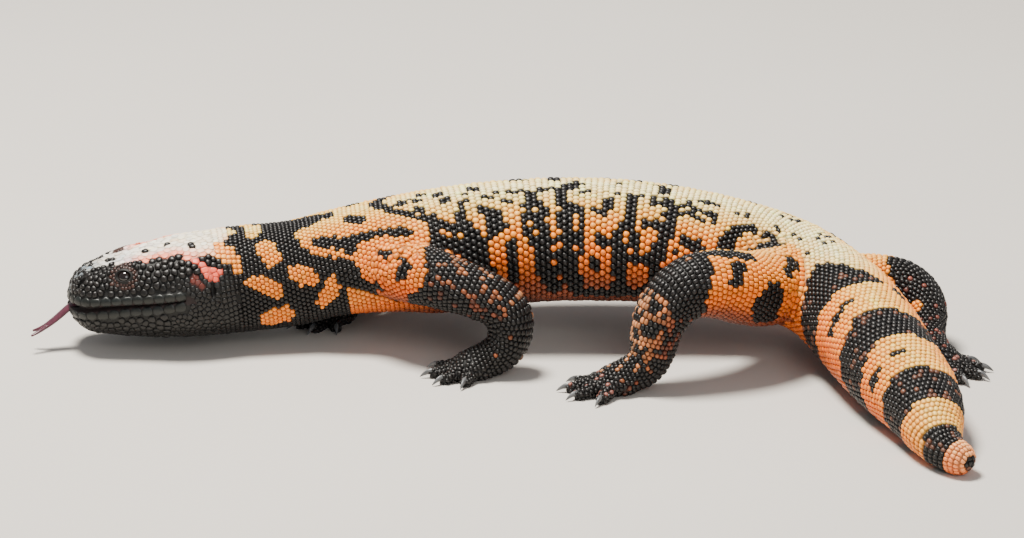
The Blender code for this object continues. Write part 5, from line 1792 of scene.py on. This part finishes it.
def make_skin(points, faces, bead_points, bead_colours, finish):
    """The skin between the beads, which takes the nearest bead's colour darkened by painted shade, with
    painted shade in its openings and mouth.
    """
    skin = new_object("skin", points + SHIFT, faces, finish)
    tree = tree_of(bead_points)
    colour = bead_colours[[tree.find(point)[1] for point in points]]
    # Painted shade: the inside of the mouth is a very dark red
    colour[in_mouth(points)] = linear(SHADED_MOUTH_RED)
    # Painted shade: the skin in the openings is painted black
    colour[near_opening(points)] = linear(PIT_PAINTED_SHADE)
    set_colours(skin.data, colour)
    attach(skin, "root")
    nodes = ["head", "neck", "chest", "belly", "hips", "tail_base", "tail_end"]
    nodes += [f"{leg}_{part}" for leg in LEGS for part in ("upper", "lower", "foot")]
    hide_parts(*nodes)


# The camera stands where the photograph was taken from, in the shape's own place
CAMERA_HEIGHT = np.radians(19.0)
CAMERA_DISTANCE = 1700 * MM
CAMERA_TARGET = np.array([0, 0, 26.5]) * MM
PIXELS_PER_METRE = 2720.0
IMAGE_WIDTH = 1024
SENSOR = 36.0
CAMERA_RANGE = 0.05, 50


def make_camera():
    camera = bpy.data.objects.new("camera", bpy.data.cameras.new("camera"))
    bpy.context.scene.collection.objects.link(camera)
    camera.data.sensor_width = SENSOR
    camera.data.lens = PIXELS_PER_METRE * CAMERA_DISTANCE * SENSOR / IMAGE_WIDTH
    camera.data.clip_start, camera.data.clip_end = CAMERA_RANGE
    back = np.array([0, -np.cos(CAMERA_HEIGHT), np.sin(CAMERA_HEIGHT)])
    camera.location = CAMERA_TARGET + SHIFT + back * CAMERA_DISTANCE
    camera.rotation_euler = (np.pi / 2 - CAMERA_HEIGHT, 0, 0)
    bpy.context.scene.camera = camera


FLOOR_HALF, FLOOR_ROUGHNESS = 6.0, 0.85
WORLD_COLOUR, WORLD_STRENGTH = (0.86, 0.88, 0.92), 0.42
# Place and size in metres, power in watts, and colour of each light. All point at the middle of the animal
LIGHTS = {
    "key": ((-0.3, 0.1, 1.3), 0.42, 52, (1.0, 0.96, 0.88)),
    "fill": ((0.5, -1.4, 0.9), 1.0, 9, (1.0, 0.98, 0.95)),
}
LIGHT_TARGET = Vector((0, 0, 0.03))


def area_light(name, place, size, power, colour):
    light = bpy.data.lights.new(name, "AREA")
    light.shape = "DISK"
    light.size = size
    light.energy = power
    light.color = colour
    made = bpy.data.objects.new(name, light)
    bpy.context.scene.collection.objects.link(made)
    made.location = place
    made.rotation_euler = (LIGHT_TARGET - Vector(place)).to_track_quat("-Z", "Y").to_euler()


def make_stage():
    corners = np.array([(-1, -1, 0), (1, -1, 0), (1, 1, 0), (-1, 1, 0)]) * FLOOR_HALF
    floor = new_object("floor", corners, np.array([[0, 1, 2, 3]]), toned_material("floor", FLOOR_ROUGHNESS))
    world = bpy.data.worlds.new("studio")
    world.use_nodes = True
    world.node_tree.nodes["Background"].inputs["Color"].default_value = (*WORLD_COLOUR, 1)
    world.node_tree.nodes["Background"].inputs["Strength"].default_value = WORLD_STRENGTH
    bpy.context.scene.world = world
    for name, (place, size, power, colour) in LIGHTS.items():
        area_light(name, place, size, power, colour)


# Roughness of the hide, and the least and most light of its mottling
BEAD_FINISH, SKIN_FINISH = (0.38, 0.86, 1.12), (0.6, 0.7, 1.2)
EYE_ROUGHNESS, CLAW_ROUGHNESS, TONGUE_ROUGHNESS = 0.06, 0.32, 0.3
EYE_COAT = {"Coat_Weight": 0.6, "Coat_Roughness": 0.02}


def main():
    skin_points, skin_faces = make_skin_mesh()
    hide = hide_material("hide_beads", *BEAD_FINISH)
    under = hide_material("hide_skin", *SKIN_FINISH)
    skin = Surface(skin_points, skin_faces)
    bead_points, bead_colours = make_coat(skin, hide)
    make_skin(skin_points, skin_faces, bead_points, bead_colours, under)
    make_eyes(toned_material("eye", EYE_ROUGHNESS, **EYE_COAT))
    claw = toned_material("claw", CLAW_ROUGHNESS)
    for name in LEGS:
        make_claws(name, claw)
    make_tongue(toned_material("tongue", TONGUE_ROUGHNESS, TONGUE_BUMP))
    make_stage()
    make_camera()


main()
